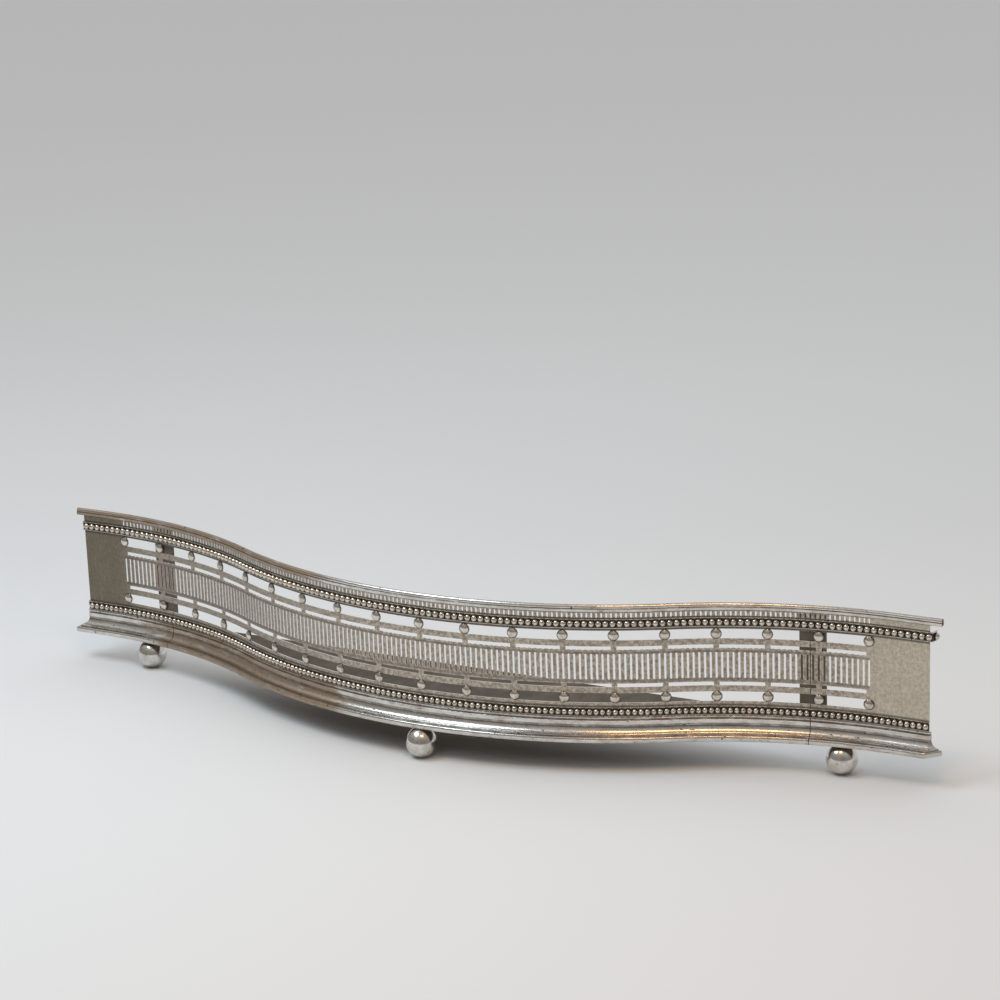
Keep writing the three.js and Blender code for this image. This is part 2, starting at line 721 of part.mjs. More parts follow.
for (const section of SECTIONS) {
  add(`front_sheet_${section.name}`, frontSheet(section), wornSteel);
  add(`plinth_${section.name}`, plinth(section), polishedMoulding);
  add(`lower_bead_strip_${section.name}`, lowerStrip(section), beadedSteel);
}
add("upper_bead_strip", upperStrip(), beadedSteel);
add("top_rail", topRail(), polishedMoulding);
add("splice_strap_left", strap(-1), darkSteel);
add("splice_strap_right", strap(1), darkSteel);
add("sole_strip", soleStrip(), darkSteel);
add("hearth_plate", hearthPlate(), darkSteel);
add("plate_ledge", plateLedge(), darkSteel);

for (const [name, [x, y]] of Object.entries(footPlaces())) {
  const mesh = add(`ball_foot_${name}`, foot(), brightSteel);
  mesh.rotation.x = Math.PI / 2;
  mesh.position.set(x, y, 0);
}

const upAxis = new THREE.Vector3(0, 1, 0);
const onStrap = (k) => k === 1 || k === BAYS - 1;
studLines.forEach((s, k) => {
  const { x, y, nx, ny } = plan(s);
  const behind = onStrap(k) ? FACE + STRAP_THICKNESS : HALF_SHEET;
  const rows = { lower: LOWER_STUD_HEIGHT, upper: UPPER_STUD_HEIGHT };
  for (const [row, height] of Object.entries(rows)) {
    const number = String(k + 1).padStart(2, "0");
    const mesh = add(`stud_${row}_${number}`, stud(-behind - SHANK_TAIL), brightSteel);
    mesh.quaternion.setFromUnitVectors(upAxis, new THREE.Vector3(nx, ny, 0));
    mesh.position.set(x, y, height);
  }
});

// The origin is on the hearth, under the middle of the whole fender
fender.updateMatrixWorld(true);
const box = new THREE.Box3().setFromObject(fender, true);
const middle = box.getCenter(new THREE.Vector3());
fender.position.set(-middle.x, -middle.y, -box.min.z);
fender.updateMatrixWorld(true);

export default fender;
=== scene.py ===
import math
import bpy
import numpy as np
from mathutils import Matrix, Vector


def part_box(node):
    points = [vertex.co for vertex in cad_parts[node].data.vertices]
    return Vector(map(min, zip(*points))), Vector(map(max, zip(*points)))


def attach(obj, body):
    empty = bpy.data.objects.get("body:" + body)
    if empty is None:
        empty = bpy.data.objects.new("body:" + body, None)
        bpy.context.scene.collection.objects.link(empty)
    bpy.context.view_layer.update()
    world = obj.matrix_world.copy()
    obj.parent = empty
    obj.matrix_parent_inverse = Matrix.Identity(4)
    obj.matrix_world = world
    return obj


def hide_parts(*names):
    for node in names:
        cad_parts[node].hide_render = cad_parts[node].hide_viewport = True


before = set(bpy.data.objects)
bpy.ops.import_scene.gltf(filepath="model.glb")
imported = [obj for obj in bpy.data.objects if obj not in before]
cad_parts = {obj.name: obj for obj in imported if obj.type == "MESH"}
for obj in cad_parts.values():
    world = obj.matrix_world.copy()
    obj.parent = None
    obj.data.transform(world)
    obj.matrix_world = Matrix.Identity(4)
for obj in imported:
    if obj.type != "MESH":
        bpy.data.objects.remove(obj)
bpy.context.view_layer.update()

mm = 0.001


plan = dict(
    crestRadius=610 * mm,       # bulging middle
    flankRadius=548 * mm,       # hollow flanks
    sweep=math.radians(28.5),   # turn of the crest arc, and back again on the flank
    crestFootForward=7.5 * mm,
    gap=0.3 * mm,               # between pieces that touch
)

frontSheet = dict(
    thickness=1.0 * mm,
    bay=60 * mm,
    bays=18,
    plainLeft=63 * mm,
    plainRight=73.4 * mm,
    seamLeft=2.5,               # in tall slots from the second stud line
    seamRight=1.5,
    upright=6.7 * mm,
    borderBelow=5.1 * mm,
    opening=12 * mm,
    band=7.5 * mm,
    thinSlot=4.5 * mm,
    land=4.8 * mm,
    tallSlot=32.2 * mm,
    tallPerBay=9,
    tallWidth=2.4 * mm,
    galleryFoot=0.9 * mm,
    gallerySlot=6.0 * mm,
    galleryPitch=5.8 * mm,
    galleryWidth=2.2 * mm,
    scallop=0.9 * mm,           # rise of the scalloped edge over each tall slot
    groove=0.35 * mm,           # depth of the line cut down each bar
    grooveWidth=0.8 * mm,
    scallopFaces=10,            # along each scallop
    step=5 * mm,
    endClear=0.1 * mm,          # from a section's end to the nearest mark
)

firstStud = -frontSheet["bays"] * frontSheet["bay"] / 2
lastStud = -firstStud
leftEnd = firstStud - frontSheet["plainLeft"]
rightEnd = lastStud + frontSheet["plainRight"]
halfSheet = frontSheet["thickness"] / 2
face = halfSheet + plan["gap"]
leftCorner = leftEnd + halfSheet
rightCorner = rightEnd - halfSheet
tallPitch = frontSheet["bay"] / frontSheet["tallPerBay"]
leftSeam = firstStud + frontSheet["bay"] + frontSheet["seamLeft"] * tallPitch
rightSeam = lastStud - frontSheet["bay"] - frontSheet["seamRight"] * tallPitch
sections = dict(
    left=(leftEnd, leftSeam - plan["gap"] / 2),
    centre=(leftSeam + plan["gap"] / 2, rightSeam - plan["gap"] / 2),
    right=(rightSeam + plan["gap"] / 2, rightEnd),
)
studLines = firstStud + frontSheet["bay"] * np.arange(frontSheet["bays"] + 1)


def heights(node):
    low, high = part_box(node)
    return low[2], high[2]


def middleOf(node):
    low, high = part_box(node)
    return [(a + b) / 2 for a, b in zip(low, high)]


crestX = middleOf("ball_foot_crest")[0]
crestY = middleOf("ball_foot_crest")[1] + plan["crestFootForward"]
noCorners = (-math.inf, math.inf)
sheetCorners = (leftCorner, rightCorner)


def curveAt(s):
    # crest arc, then the same turn back on the flank arc, then straight on: x and y add up the
    # sines and cosines of the turns so far
    t = np.abs(s)
    crest, flank, sweep = plan["crestRadius"], plan["flankRadius"], plan["sweep"]
    onCrest = np.minimum(t / crest, sweep)
    onFlank = np.clip((t - crest * sweep) / flank, 0, sweep)
    straight = np.maximum(t - (crest + flank) * sweep, 0)
    turn = onCrest - onFlank
    x = crest * np.sin(onCrest) + flank * (np.sin(onCrest) - np.sin(turn)) + straight * np.cos(turn)
    y = crest * (1 - np.cos(onCrest)) + flank * (np.cos(turn) - np.cos(onCrest)) + straight * np.sin(turn)
    side = np.where(s < 0, -1.0, 1.0)
    return side * x, y, side * turn


def place(s, o, z, corners=noCorners):
    # point at distance s along the front, o in front of the middle of the sheet, at height z;
    # past a corner the path turns square to the back, and on the corner the offset is mitred
    s, o, z = np.broadcast_arrays(np.asarray(s, float), np.asarray(o, float), np.asarray(z, float))
    x, y, turn = curveAt(np.clip(s, *corners))
    nx, ny = np.sin(turn), -np.cos(turn)
    outward = np.where(s < 0, -1.0, 1.0)
    past = np.maximum(np.maximum(s - corners[1], corners[0] - s), 0)
    onCorner = (s == corners[0]) | (s == corners[1])
    sideways = np.where(onCorner | (past > 0), o, 0)
    forward = np.where(past > 0, -past, o)
    px = crestX + x + nx * forward - outward * ny * sideways
    py = crestY + y + ny * forward + outward * nx * sideways
    return np.stack([px, py, z], axis=-1)


cameraView = dict(
    focal=3062.7 / 1000,        # in frame widths
    sensor=36.0,
    azimuth=math.radians(28.204),
    elevation=math.radians(16.863),
    roll=math.radians(-2.079),
    fromCrest=(1719.1 * mm, -2990.7 * mm, 1361.8 * mm),
    farthest=60,
)


def newObject(name, data):
    added = bpy.data.objects.new(name, data)
    bpy.context.scene.collection.objects.link(added)
    return added


def addCamera():
    azimuth, elevation, roll = (cameraView[k] for k in ("azimuth", "elevation", "roll"))
    right = Vector((math.cos(azimuth), math.sin(azimuth), 0))
    ahead = Vector((
        -math.sin(azimuth) * math.cos(elevation),
        math.cos(azimuth) * math.cos(elevation),
        -math.sin(elevation),
    ))
    up = right.cross(ahead)
    rolledRight = right * math.cos(roll) + up * math.sin(roll)
    rolledUp = up * math.cos(roll) - right * math.sin(roll)
    data = bpy.data.cameras.new("photoCamera")
    data.sensor_width = cameraView["sensor"]
    data.lens = cameraView["focal"] * cameraView["sensor"]
    data.clip_end = cameraView["farthest"]
    camera = newObject("photoCamera", data)
    turn = Matrix((rolledRight, rolledUp, -ahead)).transposed().to_4x4()
    dx, dy, dz = cameraView["fromCrest"]
    camera.matrix_world = Matrix.Translation((crestX + dx, crestY + dy, dz)) @ turn
    bpy.context.scene.camera = camera


addCamera()
print("camera placed")


sharpFrom = math.radians(34)    # between the faces beside an edge


def addPiece(name, parts, finishes, replaced):
    # parts are (points, places, blocks of faces, finish number of each block); places hold s, z and
    # o of every point, or for a stud its distance from the axis, for the finishes to read
    starts = np.cumsum([0] + [len(points) for points, _, _, _ in parts])
    points = np.concatenate([part[0] for part in parts])
    places = np.concatenate([part[1] for part in parts])
    faces, finishNumbers = [], []
    for start, (_, _, blocks, numbers) in zip(starts, parts):
        for block, number in zip(blocks, np.broadcast_to(numbers, len(blocks))):
            faces += (np.asarray(block) + start).tolist()
            finishNumbers += [number] * len(block)
    mesh = bpy.data.meshes.new(name)
    mesh.from_pydata(points.tolist(), [], faces)
    mesh.polygons.foreach_set("use_smooth", np.ones(len(faces), bool))
    mesh.polygons.foreach_set("material_index", np.array(finishNumbers, np.int32))
    mesh.set_sharp_from_angle(angle=sharpFrom)
    alongFront = mesh.attributes.new("alongFront", "FLOAT_VECTOR", "POINT")
    alongFront.data.foreach_set("vector", places.astype(np.float32).ravel())
    for finish in finishes:
        mesh.materials.append(finish)
    mesh.update()
    piece = newObject(name, mesh)
    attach(piece, "root")
    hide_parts(*replaced)
    return piece


def spread(edges, step):
    # the edges, with even marks between any two that lie further apart than the step
    edges = np.unique(np.round(edges, 7))
    gaps = np.diff(edges)
    parts = np.maximum(np.ceil(gaps / step - 1e-6), 1).astype(int)
    first = np.repeat(np.cumsum(parts) - parts, parts)
    inside = np.arange(parts.sum()) - first
    marks = np.repeat(edges[:-1], parts) + inside * np.repeat(gaps / parts, parts)
    return np.append(marks, edges[-1])


def quads(a, b, c, d):
    # four-sided faces from four arrays of corners
    return np.stack([a, b, c, d], axis=-1).reshape(-1, 4)


def ringFaces(rings, around):
    # faces of a grid of rings, each with the same number of points
    index = np.arange(rings * around).reshape(rings, around)
    following = np.roll(index, -1, axis=1)
    return quads(index[:-1], index[1:], following[1:], following[:-1])


def turnedFaces(rings, around):
    # faces of rings between two single-point poles; points are numbered pole, rings, pole
    turn = np.arange(around)
    after = np.roll(turn, -1)
    last = 1 + (rings - 1) * around
    side = 1 + ringFaces(rings, around)[:, ::-1]
    low = np.stack([0 * turn, 1 + after, 1 + turn], axis=-1)
    high = np.stack([last + around + 0 * turn, last + turn, last + after], axis=-1)
    return [side, low, high]


def wobble(s, seed, waves=7, shortest=0.045, longest=0.4):
    # sum of sines with seeded lengths and phases, between about -1 and 1
    draw = np.random.default_rng(seed)
    lengths = draw.uniform(shortest, longest, waves)
    phases = draw.uniform(0, 2 * math.pi, waves)
    weights = draw.uniform(0.4, 1, waves)
    total = sum(w * np.sin(2 * math.pi * s / l + p) for w, l, p in zip(weights, lengths, phases))
    return total / weights.sum()


def sweep(outline, marks, corners=noCorners, wave=0.0, seed=1, other=None):
    # carries a closed outline of (o, z), anticlockwise, along the marks; wave is how far each point
    # of the outline falls back along the way; other marks the sides of the outline in a block of
    # their own
    outline = np.asarray(outline)
    o, z = outline[:, 0], outline[:, 1]
    drift = -np.asarray(wave) * (0.5 + 0.5 * wobble(marks, seed))[:, None] * np.ones(len(outline))
    s = np.broadcast_to(marks[:, None], drift.shape)
    offsets, levels = o + drift, np.broadcast_to(z, drift.shape)
    points = place(s, offsets, levels, corners)
    places = np.stack([s, levels, offsets], axis=-1)
    count = points.shape[0] * points.shape[1]
    ends = [[list(range(len(outline)))], [list(range(count - 1, count - 1 - len(outline), -1))]]
    sides = ringFaces(*points.shape[:2]).reshape(-1, len(outline), 4)
    apart = np.zeros(len(outline), bool) if other is None else other
    blocks = [sides[:, ~apart].reshape(-1, 4), *ends, sides[:, apart].reshape(-1, 4)]
    return points.reshape(-1, 3), places.reshape(-1, 3), blocks


def arc(centre, radius, start, end, steps):
    # points on an ellipse; start and end in degrees, anticlockwise from the forward side
    angle = np.radians(np.linspace(start, end, steps + 1))
    rx, ry = radius
    return np.stack([centre[0] + rx * np.cos(angle), centre[1] + ry * np.sin(angle)], axis=-1)


def balls(s, o, z, radii, back, segments, rings, corners=noCorners):
    # one small ball at every (s, o, z): a grid of latitudes and longitudes with single-point poles,
    # flatter behind, where it reaches back only as far as given
    latitude = np.linspace(-math.pi / 2, math.pi / 2, rings + 1)[1:-1]
    longitude = np.linspace(0, 2 * math.pi, segments, endpoint=False)
    ds = np.outer(np.cos(latitude), np.cos(longitude)).ravel()
    dz = np.outer(np.cos(latitude), np.sin(longitude)).ravel()
    do = np.repeat(np.sin(latitude), segments)
    ds, dz, do = (np.concatenate([[0], d, [0]]) for d in (ds, dz, do))
    do[0], do[-1] = -1, 1
    s, o, z = (np.asarray(v, float)[:, None] for v in np.broadcast_arrays(s, o, z))
    placeS, placeZ = s + radii[0] * ds, z + radii[2] * dz
    placeO = o + np.where(do < 0, back, radii[1]) * do
    points = place(placeS, placeO, placeZ, corners)
    starts = len(ds) * np.arange(len(s))[:, None, None]
    faces = [(f[None] + starts).reshape(-1, f.shape[1]) for f in turnedFaces(rings - 1, segments)]
    places = np.stack([placeS, placeZ, placeO], axis=-1)
    return points.reshape(-1, 3), places.reshape(-1, 3), faces


def lathe(centre, profile, segments):
    # (radius, height) profile that starts and ends on the axis, turned about an upright axis
    profile = np.asarray(profile)
    angle = np.linspace(0, 2 * math.pi, segments, endpoint=False)
    radius, height = profile[1:-1, :1], profile[1:-1, 1:]
    ring = np.stack([
        centre[0] + radius * np.cos(angle),
        centre[1] + radius * np.sin(angle),
        height + 0 * angle,
    ], axis=-1).reshape(-1, 3)
    poles = [(centre[0], centre[1], profile[k, 1]) for k in (0, -1)]
    points = np.concatenate([poles[:1], ring, poles[1:]])
    return points, points, turnedFaces(len(profile) - 2, segments)


def newFinish(name):
    finish = bpy.data.materials.new(name)
    finish.use_nodes = True
    return finish, finish.node_tree.nodes["Principled BSDF"]


def addNode(finish, kind, inputs=None, **settings):
    node = finish.node_tree.nodes.new(kind)
    for key, value in settings.items():
        setattr(node, key, value)
    for key, value in (inputs or {}).items():
        feed(finish, node.inputs[key], value)
    return node


def feed(finish, socket, value):
    # links the input to another node's output, or sets it
    if isinstance(value, bpy.types.NodeSocket):
        finish.node_tree.links.new(value, socket)
    else:
        socket.default_value = (*value, 1) if socket.type == "RGBA" else value


def dress(finish, shader, tone, rough, normal, metallic):
    inputs = {"Base Color": tone, "Roughness": rough, "Normal": normal, "Metallic": metallic}
    for key, value in inputs.items():
        feed(finish, shader.inputs[key], value)
    return finish


def frontPlace(finish):
    # s, z and o of the surface, in metres
    return addNode(finish, "ShaderNodeAttribute", attribute_name="alongFront").outputs["Vector"]


def objectPlace(finish):
    return addNode(finish, "ShaderNodeTexCoord").outputs["Object"]


def axis(finish, vector, number):
    return addNode(finish, "ShaderNodeSeparateXYZ", {0: vector}).outputs[number]


def noise(finish, vector, scale, detail, rough, stretch=(1, 1, 1)):
    mapped = addNode(finish, "ShaderNodeMapping", {"Vector": vector, "Scale": stretch})
    settings = {"Vector": mapped.outputs[0], "Scale": scale, "Detail": detail, "Roughness": rough}
    return addNode(finish, "ShaderNodeTexNoise", settings).outputs["Fac"]


def patterns(finish, vector, look, fine=1.0):
    # the look's noise patterns in turn; each is scale, detail, roughness and, if any, stretch
    return [noise(finish, vector, scale * fine, *rest) for scale, *rest in look["patterns"].values()]


def ramp(finish, source, low, high, start=0.0, end=1.0):
    inputs = {"Value": source, "From Min": low, "From Max": high, "To Min": start, "To Max": end}
    return addNode(finish, "ShaderNodeMapRange", inputs, interpolation_type="SMOOTHSTEP").outputs[0]


def mixColour(finish, factor, first, second):
    node = addNode(finish, "ShaderNodeMix", data_type="RGBA")
    for number, value in ((0, factor), (6, first), (7, second)):
        feed(finish, node.inputs[number], value)
    return node.outputs[2]


def layer(finish, pattern, amounts, under, over):
    # the second colour lies over the first where the pattern is between the amounts
    return mixColour(finish, ramp(finish, pattern, *amounts), under, over)


def maths(finish, operation, first, second=0.0):
    return addNode(finish, "ShaderNodeMath", {0: first, 1: second}, operation=operation).outputs[0]


def bump(finish, height, strength, distance, before=None):
    inputs = {"Height": height, "Strength": strength, "Distance": distance}
    if before is not None:
        inputs["Normal"] = before
    return addNode(finish, "ShaderNodeBump", inputs).outputs[0]


def window(finish, source, low, high, soft):
    # 1 between low and high, falling to 0 over the soft distance on both sides
    rise = ramp(finish, source, low - soft, low)
    fall = ramp(finish, source, high, high + soft, 1, 0)
    return maths(finish, "MULTIPLY", rise, fall)


def shadeAndGrimeLines(finish, along, lines):
    # strongest of several dark lines that run along the front, for dirt and painted shade; each is (low,
    # high, soft, strength)
    height = axis(finish, along, 1)
    total = 0.0
    for low, high, soft, strength in lines:
        line = maths(finish, "MULTIPLY", window(finish, height, low, high, soft), strength)
        total = maths(finish, "MAXIMUM", total, line)
    return total


seamLine = dict(half=0.4 * mm, soft=0.3 * mm)


def seamDirt(finish, s):
    # thin dark line where two sections meet
    half, soft = seamLine["half"], seamLine["soft"]
    left, right = (window(finish, s, seam - half, seam + half, soft) for seam in (leftSeam, rightSeam))
    return maths(finish, "MAXIMUM", left, right)


stripLow, stripHigh = heights("upper_bead_strip")
lowerStripHigh = heights("lower_bead_strip_centre")[1]
plinthTop = heights("plinth_centre")[1]
railLow = heights("top_rail")[0]
lowerOpening = lowerStripHigh + frontSheet["borderBelow"]
lowerThin = lowerOpening + frontSheet["opening"] + frontSheet["band"]
tallFoot = lowerThin + frontSheet["thinSlot"] + frontSheet["land"]
tallHead = tallFoot + frontSheet["tallSlot"]

# in the looks below, a layer's numbers are where its pattern begins to show and where it is full,
# then the strength at either place; a bump's are its strength and its height
wornSteelLook = dict(
    pale=(0.62, 0.555, 0.475),
    dark=(0.33, 0.285, 0.235),
    # tones of the plain ends: partly patina, partly painted shade at the left end and painted light at
    # the right
    leftTone=(0.155, 0.132, 0.092),
    rightTone=(0.7, 0.64, 0.52),
    brown=(0.2, 0.15, 0.1),
    pit=(0.07, 0.06, 0.05),
    # dark tone of the lines of dirt and painted shade
    grimeAndShade=(0.085, 0.072, 0.058),
    patterns=dict(
        cloud=(210, 6, 0.72),
        rub=(800, 2, 0.5, (1, 0.06, 1)),
        speck=(520, 3, 0.6),
        pits=(800, 2, 0.5),
    ),
    mottled=(0.38, 0.62),
    # darker towards the left and paler at the right end: partly patina, partly painted shade and light
    shadedLeftFlank=(-0.34, 0.0, 0.65, 0),
    atLeftEnd=(-0.5, -0.56, 0, 0.8),
    atRightEnd=(0.5, 0.56, 0, 0.6),
    rubbed=(0.45, 0.75, 0, 0.3),
    specked=(0.6, 0.72, 0, 0.6),
    pitted=(0.7, 0.76),
    patchyGrimeAndShade=(0.3, 0.5, 0.6, 1),
    polished=(0.3, 0.7, 0.54, 0.36),
    metallic=0.85,
    rubBump=(0.3, 0.2 * mm),
    pitBump=(0.3, 0.2 * mm),
    # dirt and painted shade: below and above the upper strip, under the rail and above the lower strip
    lines=(
        (stripLow - 2.2 * mm, stripLow, 1.6 * mm, 0.8),
        (stripHigh, stripHigh + 0.8 * mm, 0.8 * mm, 0.7),
        (railLow - 0.9 * mm, railLow, 1.0 * mm, 0.7),
        (lowerStripHigh, lowerStripHigh + 1.2 * mm, 1.4 * mm, 0.6),
    ),
    slotLines=(                 # darker bands at the ends of the tall slots
        (tallHead + 0.15 * mm, tallHead + 1.95 * mm, 1.2 * mm, 0.45),
        (tallFoot - 2.85 * mm, tallFoot - 0.25 * mm, 1.2 * mm, 0.4),
    ),
    slotLineFade=2 * mm,
)


def wornSteel():
    # sheet that was polished once: finely mottled, rubbed upright, with brown specks and small dark
    # pits; darker on the left flank, darker and olive on the plain left end, paler on the right one,
    # partly patina and partly painted shade on the left and painted light on the right; dirt and
    # painted shade along the strips and under the rail
    look = wornSteelLook
    finish, shader = newFinish("wornSteel")
    along = frontPlace(finish)
    s = axis(finish, along, 0)
    cloud, rub, speck, pits = patterns(finish, along, look)
    tone = layer(finish, cloud, look["mottled"], look["dark"], look["pale"])
    # painted shade towards the left flank and left end, painted light at the right end, over the patina
    tone = layer(finish, s, look["shadedLeftFlank"], tone, look["dark"])
    tone = layer(finish, s, look["atLeftEnd"], tone, look["leftTone"])
    tone = layer(finish, s, look["atRightEnd"], tone, look["rightTone"])
    tone = layer(finish, rub, look["rubbed"], tone, look["dark"])
    tone = layer(finish, speck, look["specked"], tone, look["brown"])
    pierced = window(finish, s, firstStud, lastStud, look["slotLineFade"])
    slotEndDarkening = maths(finish, "MULTIPLY", shadeAndGrimeLines(finish, along, look["slotLines"]), pierced)
    # dirt and painted shade along the strips and under the rail, the darker slot-end bands and the dark
    # seams
    shadeAndDirt = maths(finish, "MAXIMUM", shadeAndGrimeLines(finish, along, look["lines"]), slotEndDarkening)
    shadeAndDirt = maths(finish, "MULTIPLY", shadeAndDirt, ramp(finish, cloud, *look["patchyGrimeAndShade"]))
    shadeAndDirt = maths(finish, "MAXIMUM", shadeAndDirt, seamDirt(finish, s))
    tone = mixColour(finish, shadeAndDirt, tone, look["grimeAndShade"])
    tone = layer(finish, pits, look["pitted"], tone, look["pit"])
    rough = ramp(finish, cloud, *look["polished"])
    relief = bump(finish, pits, *look["pitBump"], bump(finish, rub, *look["rubBump"]))
    return dress(finish, shader, tone, rough, relief, look["metallic"])


mouldingLook = dict(
    pale=(0.75, 0.73, 0.7),
    dull=(0.53, 0.49, 0.435),
    rust=(0.33, 0.225, 0.14),
    pit=(0.06, 0.05, 0.045),
    # dark tone of the lines of dirt and painted shade
    grimeAndShade=(0.1, 0.082, 0.065),
    patterns=dict(
        drawn=(420, 3, 0.5, (0.12, 1, 1)),
        cloud=(130, 6, 0.62, (0.5, 1.2, 1.2)),
        rust=(110, 6, 0.7, (0.35, 1.5, 1.5)),
        pits=(300, 2, 0.5, (0.7, 1, 1)),
    ),
    brownFade=0.06,             # beyond either end of the browner stretch
    brownRust=0.12,             # that it adds to the rust
    brownHaze=0.12,             # and to the roughness
    clouded=(0.38, 0.66, 0, 0.75),
    lined=(0.45, 0.75, 0, 0.3),
    rusted=(0.5, 0.75, 0, 0.8),
    patchyGrimeAndShade=(0.3, 0.55, 0.65, 1),
    pitted=(0.68, 0.73),
    hazy=(0.35, 0.7, 0.15, 0.3),
    metallic=0.95,
    lineBump=(0.12, 0.2 * mm),
    pitBump=(0.25, 0.3 * mm),
)
# for each moulding: its dark lines of dirt and painted shade, the browner stretch along the front and how
# much browner it is, and whether the seams of the sections show
mouldingLooks = dict(
    plinth=dict(brownFrom=-0.46, brownTo=-0.15, brownLevel=2.3, seams=True, lines=(
        # dirt and painted shade in the quirk under the fillet, at the top of the cove and at its foot by
        # the lip
        (plinthTop - 4.2 * mm, plinthTop - 2.7 * mm, 0.5 * mm, 0.9),
        (plinthTop - 12.6 * mm, plinthTop - 10.0 * mm, 1.2 * mm, 0.7),
        (plinthTop - 21.4 * mm, plinthTop - 20.0 * mm, 0.4 * mm, 0.6),
    )),
    rail=dict(brownFrom=-0.62, brownTo=-0.18, brownLevel=2.1, seams=False, lines=(
        # painted shade at the waist under the roll and along the rail's foot
        (railLow + 3.7 * mm, railLow + 4.2 * mm, 0.4 * mm, 0.8),
        (railLow - 0.2 * mm, railLow + 0.4 * mm, 0.4 * mm, 0.5),
    )),
    rim=dict(brownFrom=-0.62, brownTo=-0.2, brownLevel=0.6, seams=False, lines=()),
)


def moulding(name, lines, brownFrom, brownTo, brownLevel, seams):
    # rolled moulding: fine polishing marks, brown clouds, dark pits, and dirt and painted shade in the
    # sunk lines and creases; one stretch along the front is browner than the rest
    look = mouldingLook
    finish, shader = newFinish(f"{name}Steel")
    along = frontPlace(finish)
    s = axis(finish, along, 0)
    drawn, cloud, rust, pits = patterns(finish, along, look)
    stretch = window(finish, s, brownFrom, brownTo, look["brownFade"])
    browner = maths(finish, "MULTIPLY", stretch, brownLevel)
    tone = layer(finish, cloud, look["clouded"], look["pale"], look["dull"])
    tone = layer(finish, drawn, look["lined"], tone, look["dull"])
    rusty = maths(finish, "ADD", rust, maths(finish, "MULTIPLY", browner, look["brownRust"]))
    tone = layer(finish, rusty, look["rusted"], tone, look["rust"])
    # dirt and painted shade in the lines along the moulding, patchy with the clouds
    shadeAndDirt = ramp(finish, cloud, *look["patchyGrimeAndShade"])
    shadeAndDirt = maths(finish, "MULTIPLY", shadeAndGrimeLines(finish, along, lines), shadeAndDirt)
    if seams:
        shadeAndDirt = maths(finish, "MAXIMUM", shadeAndDirt, seamDirt(finish, s))
    tone = mixColour(finish, shadeAndDirt, tone, look["grimeAndShade"])
    tone = layer(finish, pits, look["pitted"], tone, look["pit"])
    haze = maths(finish, "MULTIPLY", browner, look["brownHaze"])
    rough = maths(finish, "ADD", ramp(finish, cloud, *look["hazy"]), haze)
    relief = bump(finish, pits, *look["pitBump"], bump(finish, drawn, *look["lineBump"]))
    return dress(finish, shader, tone, rough, relief, look["metallic"])


# for each bright piece: the two tones of the steel, its stains, its roughness where the haze begins
# and is full, and how fine the pattern is; for the studs also where the painted shade round the edge
# begins and ends
brightLooks = dict(
    bead=dict(
        pale=(0.76, 0.71, 0.63), hazy=(0.46, 0.4, 0.33), stain=(0.16, 0.12, 0.08),
        hazed=(0.35, 0.7, 0.12, 0.22), fine=1.8),
    stud=dict(
        pale=(0.76, 0.71, 0.64), hazy=(0.5, 0.455, 0.39), stain=(0.11, 0.085, 0.065),
        hazed=(0.35, 0.7, 0.14, 0.26), fine=1.3, rim=(4.6 * mm, 6.3 * mm, 0, 0.9)),
    foot=dict(
        pale=(0.76, 0.735, 0.7), hazy=(0.56, 0.53, 0.48), stain=(0.28, 0.22, 0.16),
        hazed=(0.35, 0.7, 0.12, 0.25), fine=0.8),
)
brightPatterns = dict(
    patterns=dict(
        haze=(140, 4, 0.6),
        scratch=(1200, 2, 0.5, (1, 1, 0.08)),
        stain=(300, 4, 0.62),
    ),
    clouded=(0.42, 0.7),
    scratched=(0.5, 0.75, 0, 0.3),
    stained=(0.6, 0.72, 0, 0.8),
    scratchBump=(0.2, 0.15 * mm),
    metallic=1.0,
)


def brightSteel(name):
    # polished steel with light haze, fine upright scratches and a few stains; the studs get painted shade
    # darkening towards their edge
    look = brightLooks[name]
    finish, shader = newFinish(f"{name}Steel")
    place3d = objectPlace(finish)
    haze, scratch, stain = patterns(finish, place3d, brightPatterns, look["fine"])
    clouded, scratched, stained = (brightPatterns[k] for k in ("clouded", "scratched", "stained"))
    tone = layer(finish, haze, clouded, look["pale"], look["hazy"])
    tone = layer(finish, scratch, scratched, tone, look["hazy"])
    tone = layer(finish, stain, stained, tone, look["stain"])
    # painted shade: the stud darkens towards its edge in the stain tone
    if "rim" in look:
        fromMiddle = axis(finish, frontPlace(finish), 0)
        tone = layer(finish, fromMiddle, look["rim"], tone, look["stain"])
    rough = ramp(finish, haze, *look["hazed"])
    relief = bump(finish, scratch, *brightPatterns["scratchBump"])
    return dress(finish, shader, tone, rough, relief, brightPatterns["metallic"])


innerLook = dict(
    dark=(0.105, 0.09, 0.07),
    pale=(0.2, 0.172, 0.135),
    rust=(0.14, 0.085, 0.045),
    patterns=dict(
        cloud=(30, 6, 0.6),
        rust=(110, 5, 0.65),
        grain=(900, 3, 0.6),
    ),
    clouded=(0.35, 0.65),
    rusted=(0.54, 0.68, 0, 0.7),
    matt=(0.3, 0.7, 0.5, 0.72),
    grainBump=(0.35, 0.3 * mm),
    metallic=0.7,
)


def innerSteel():
    # black sheet from the mill, dull and brown where it was never polished
    look = innerLook
    finish, shader = newFinish("innerSteel")
    place3d = objectPlace(finish)
    cloud, rust, grain = patterns(finish, place3d, look)
    tone = layer(finish, cloud, look["clouded"], look["dark"], look["pale"])
    tone = layer(finish, rust, look["rusted"], tone, look["rust"])
    rough = ramp(finish, cloud, *look["matt"])
    relief = bump(finish, grain, *look["grainBump"])
    return dress(finish, shader, tone, rough, relief, look["metallic"])


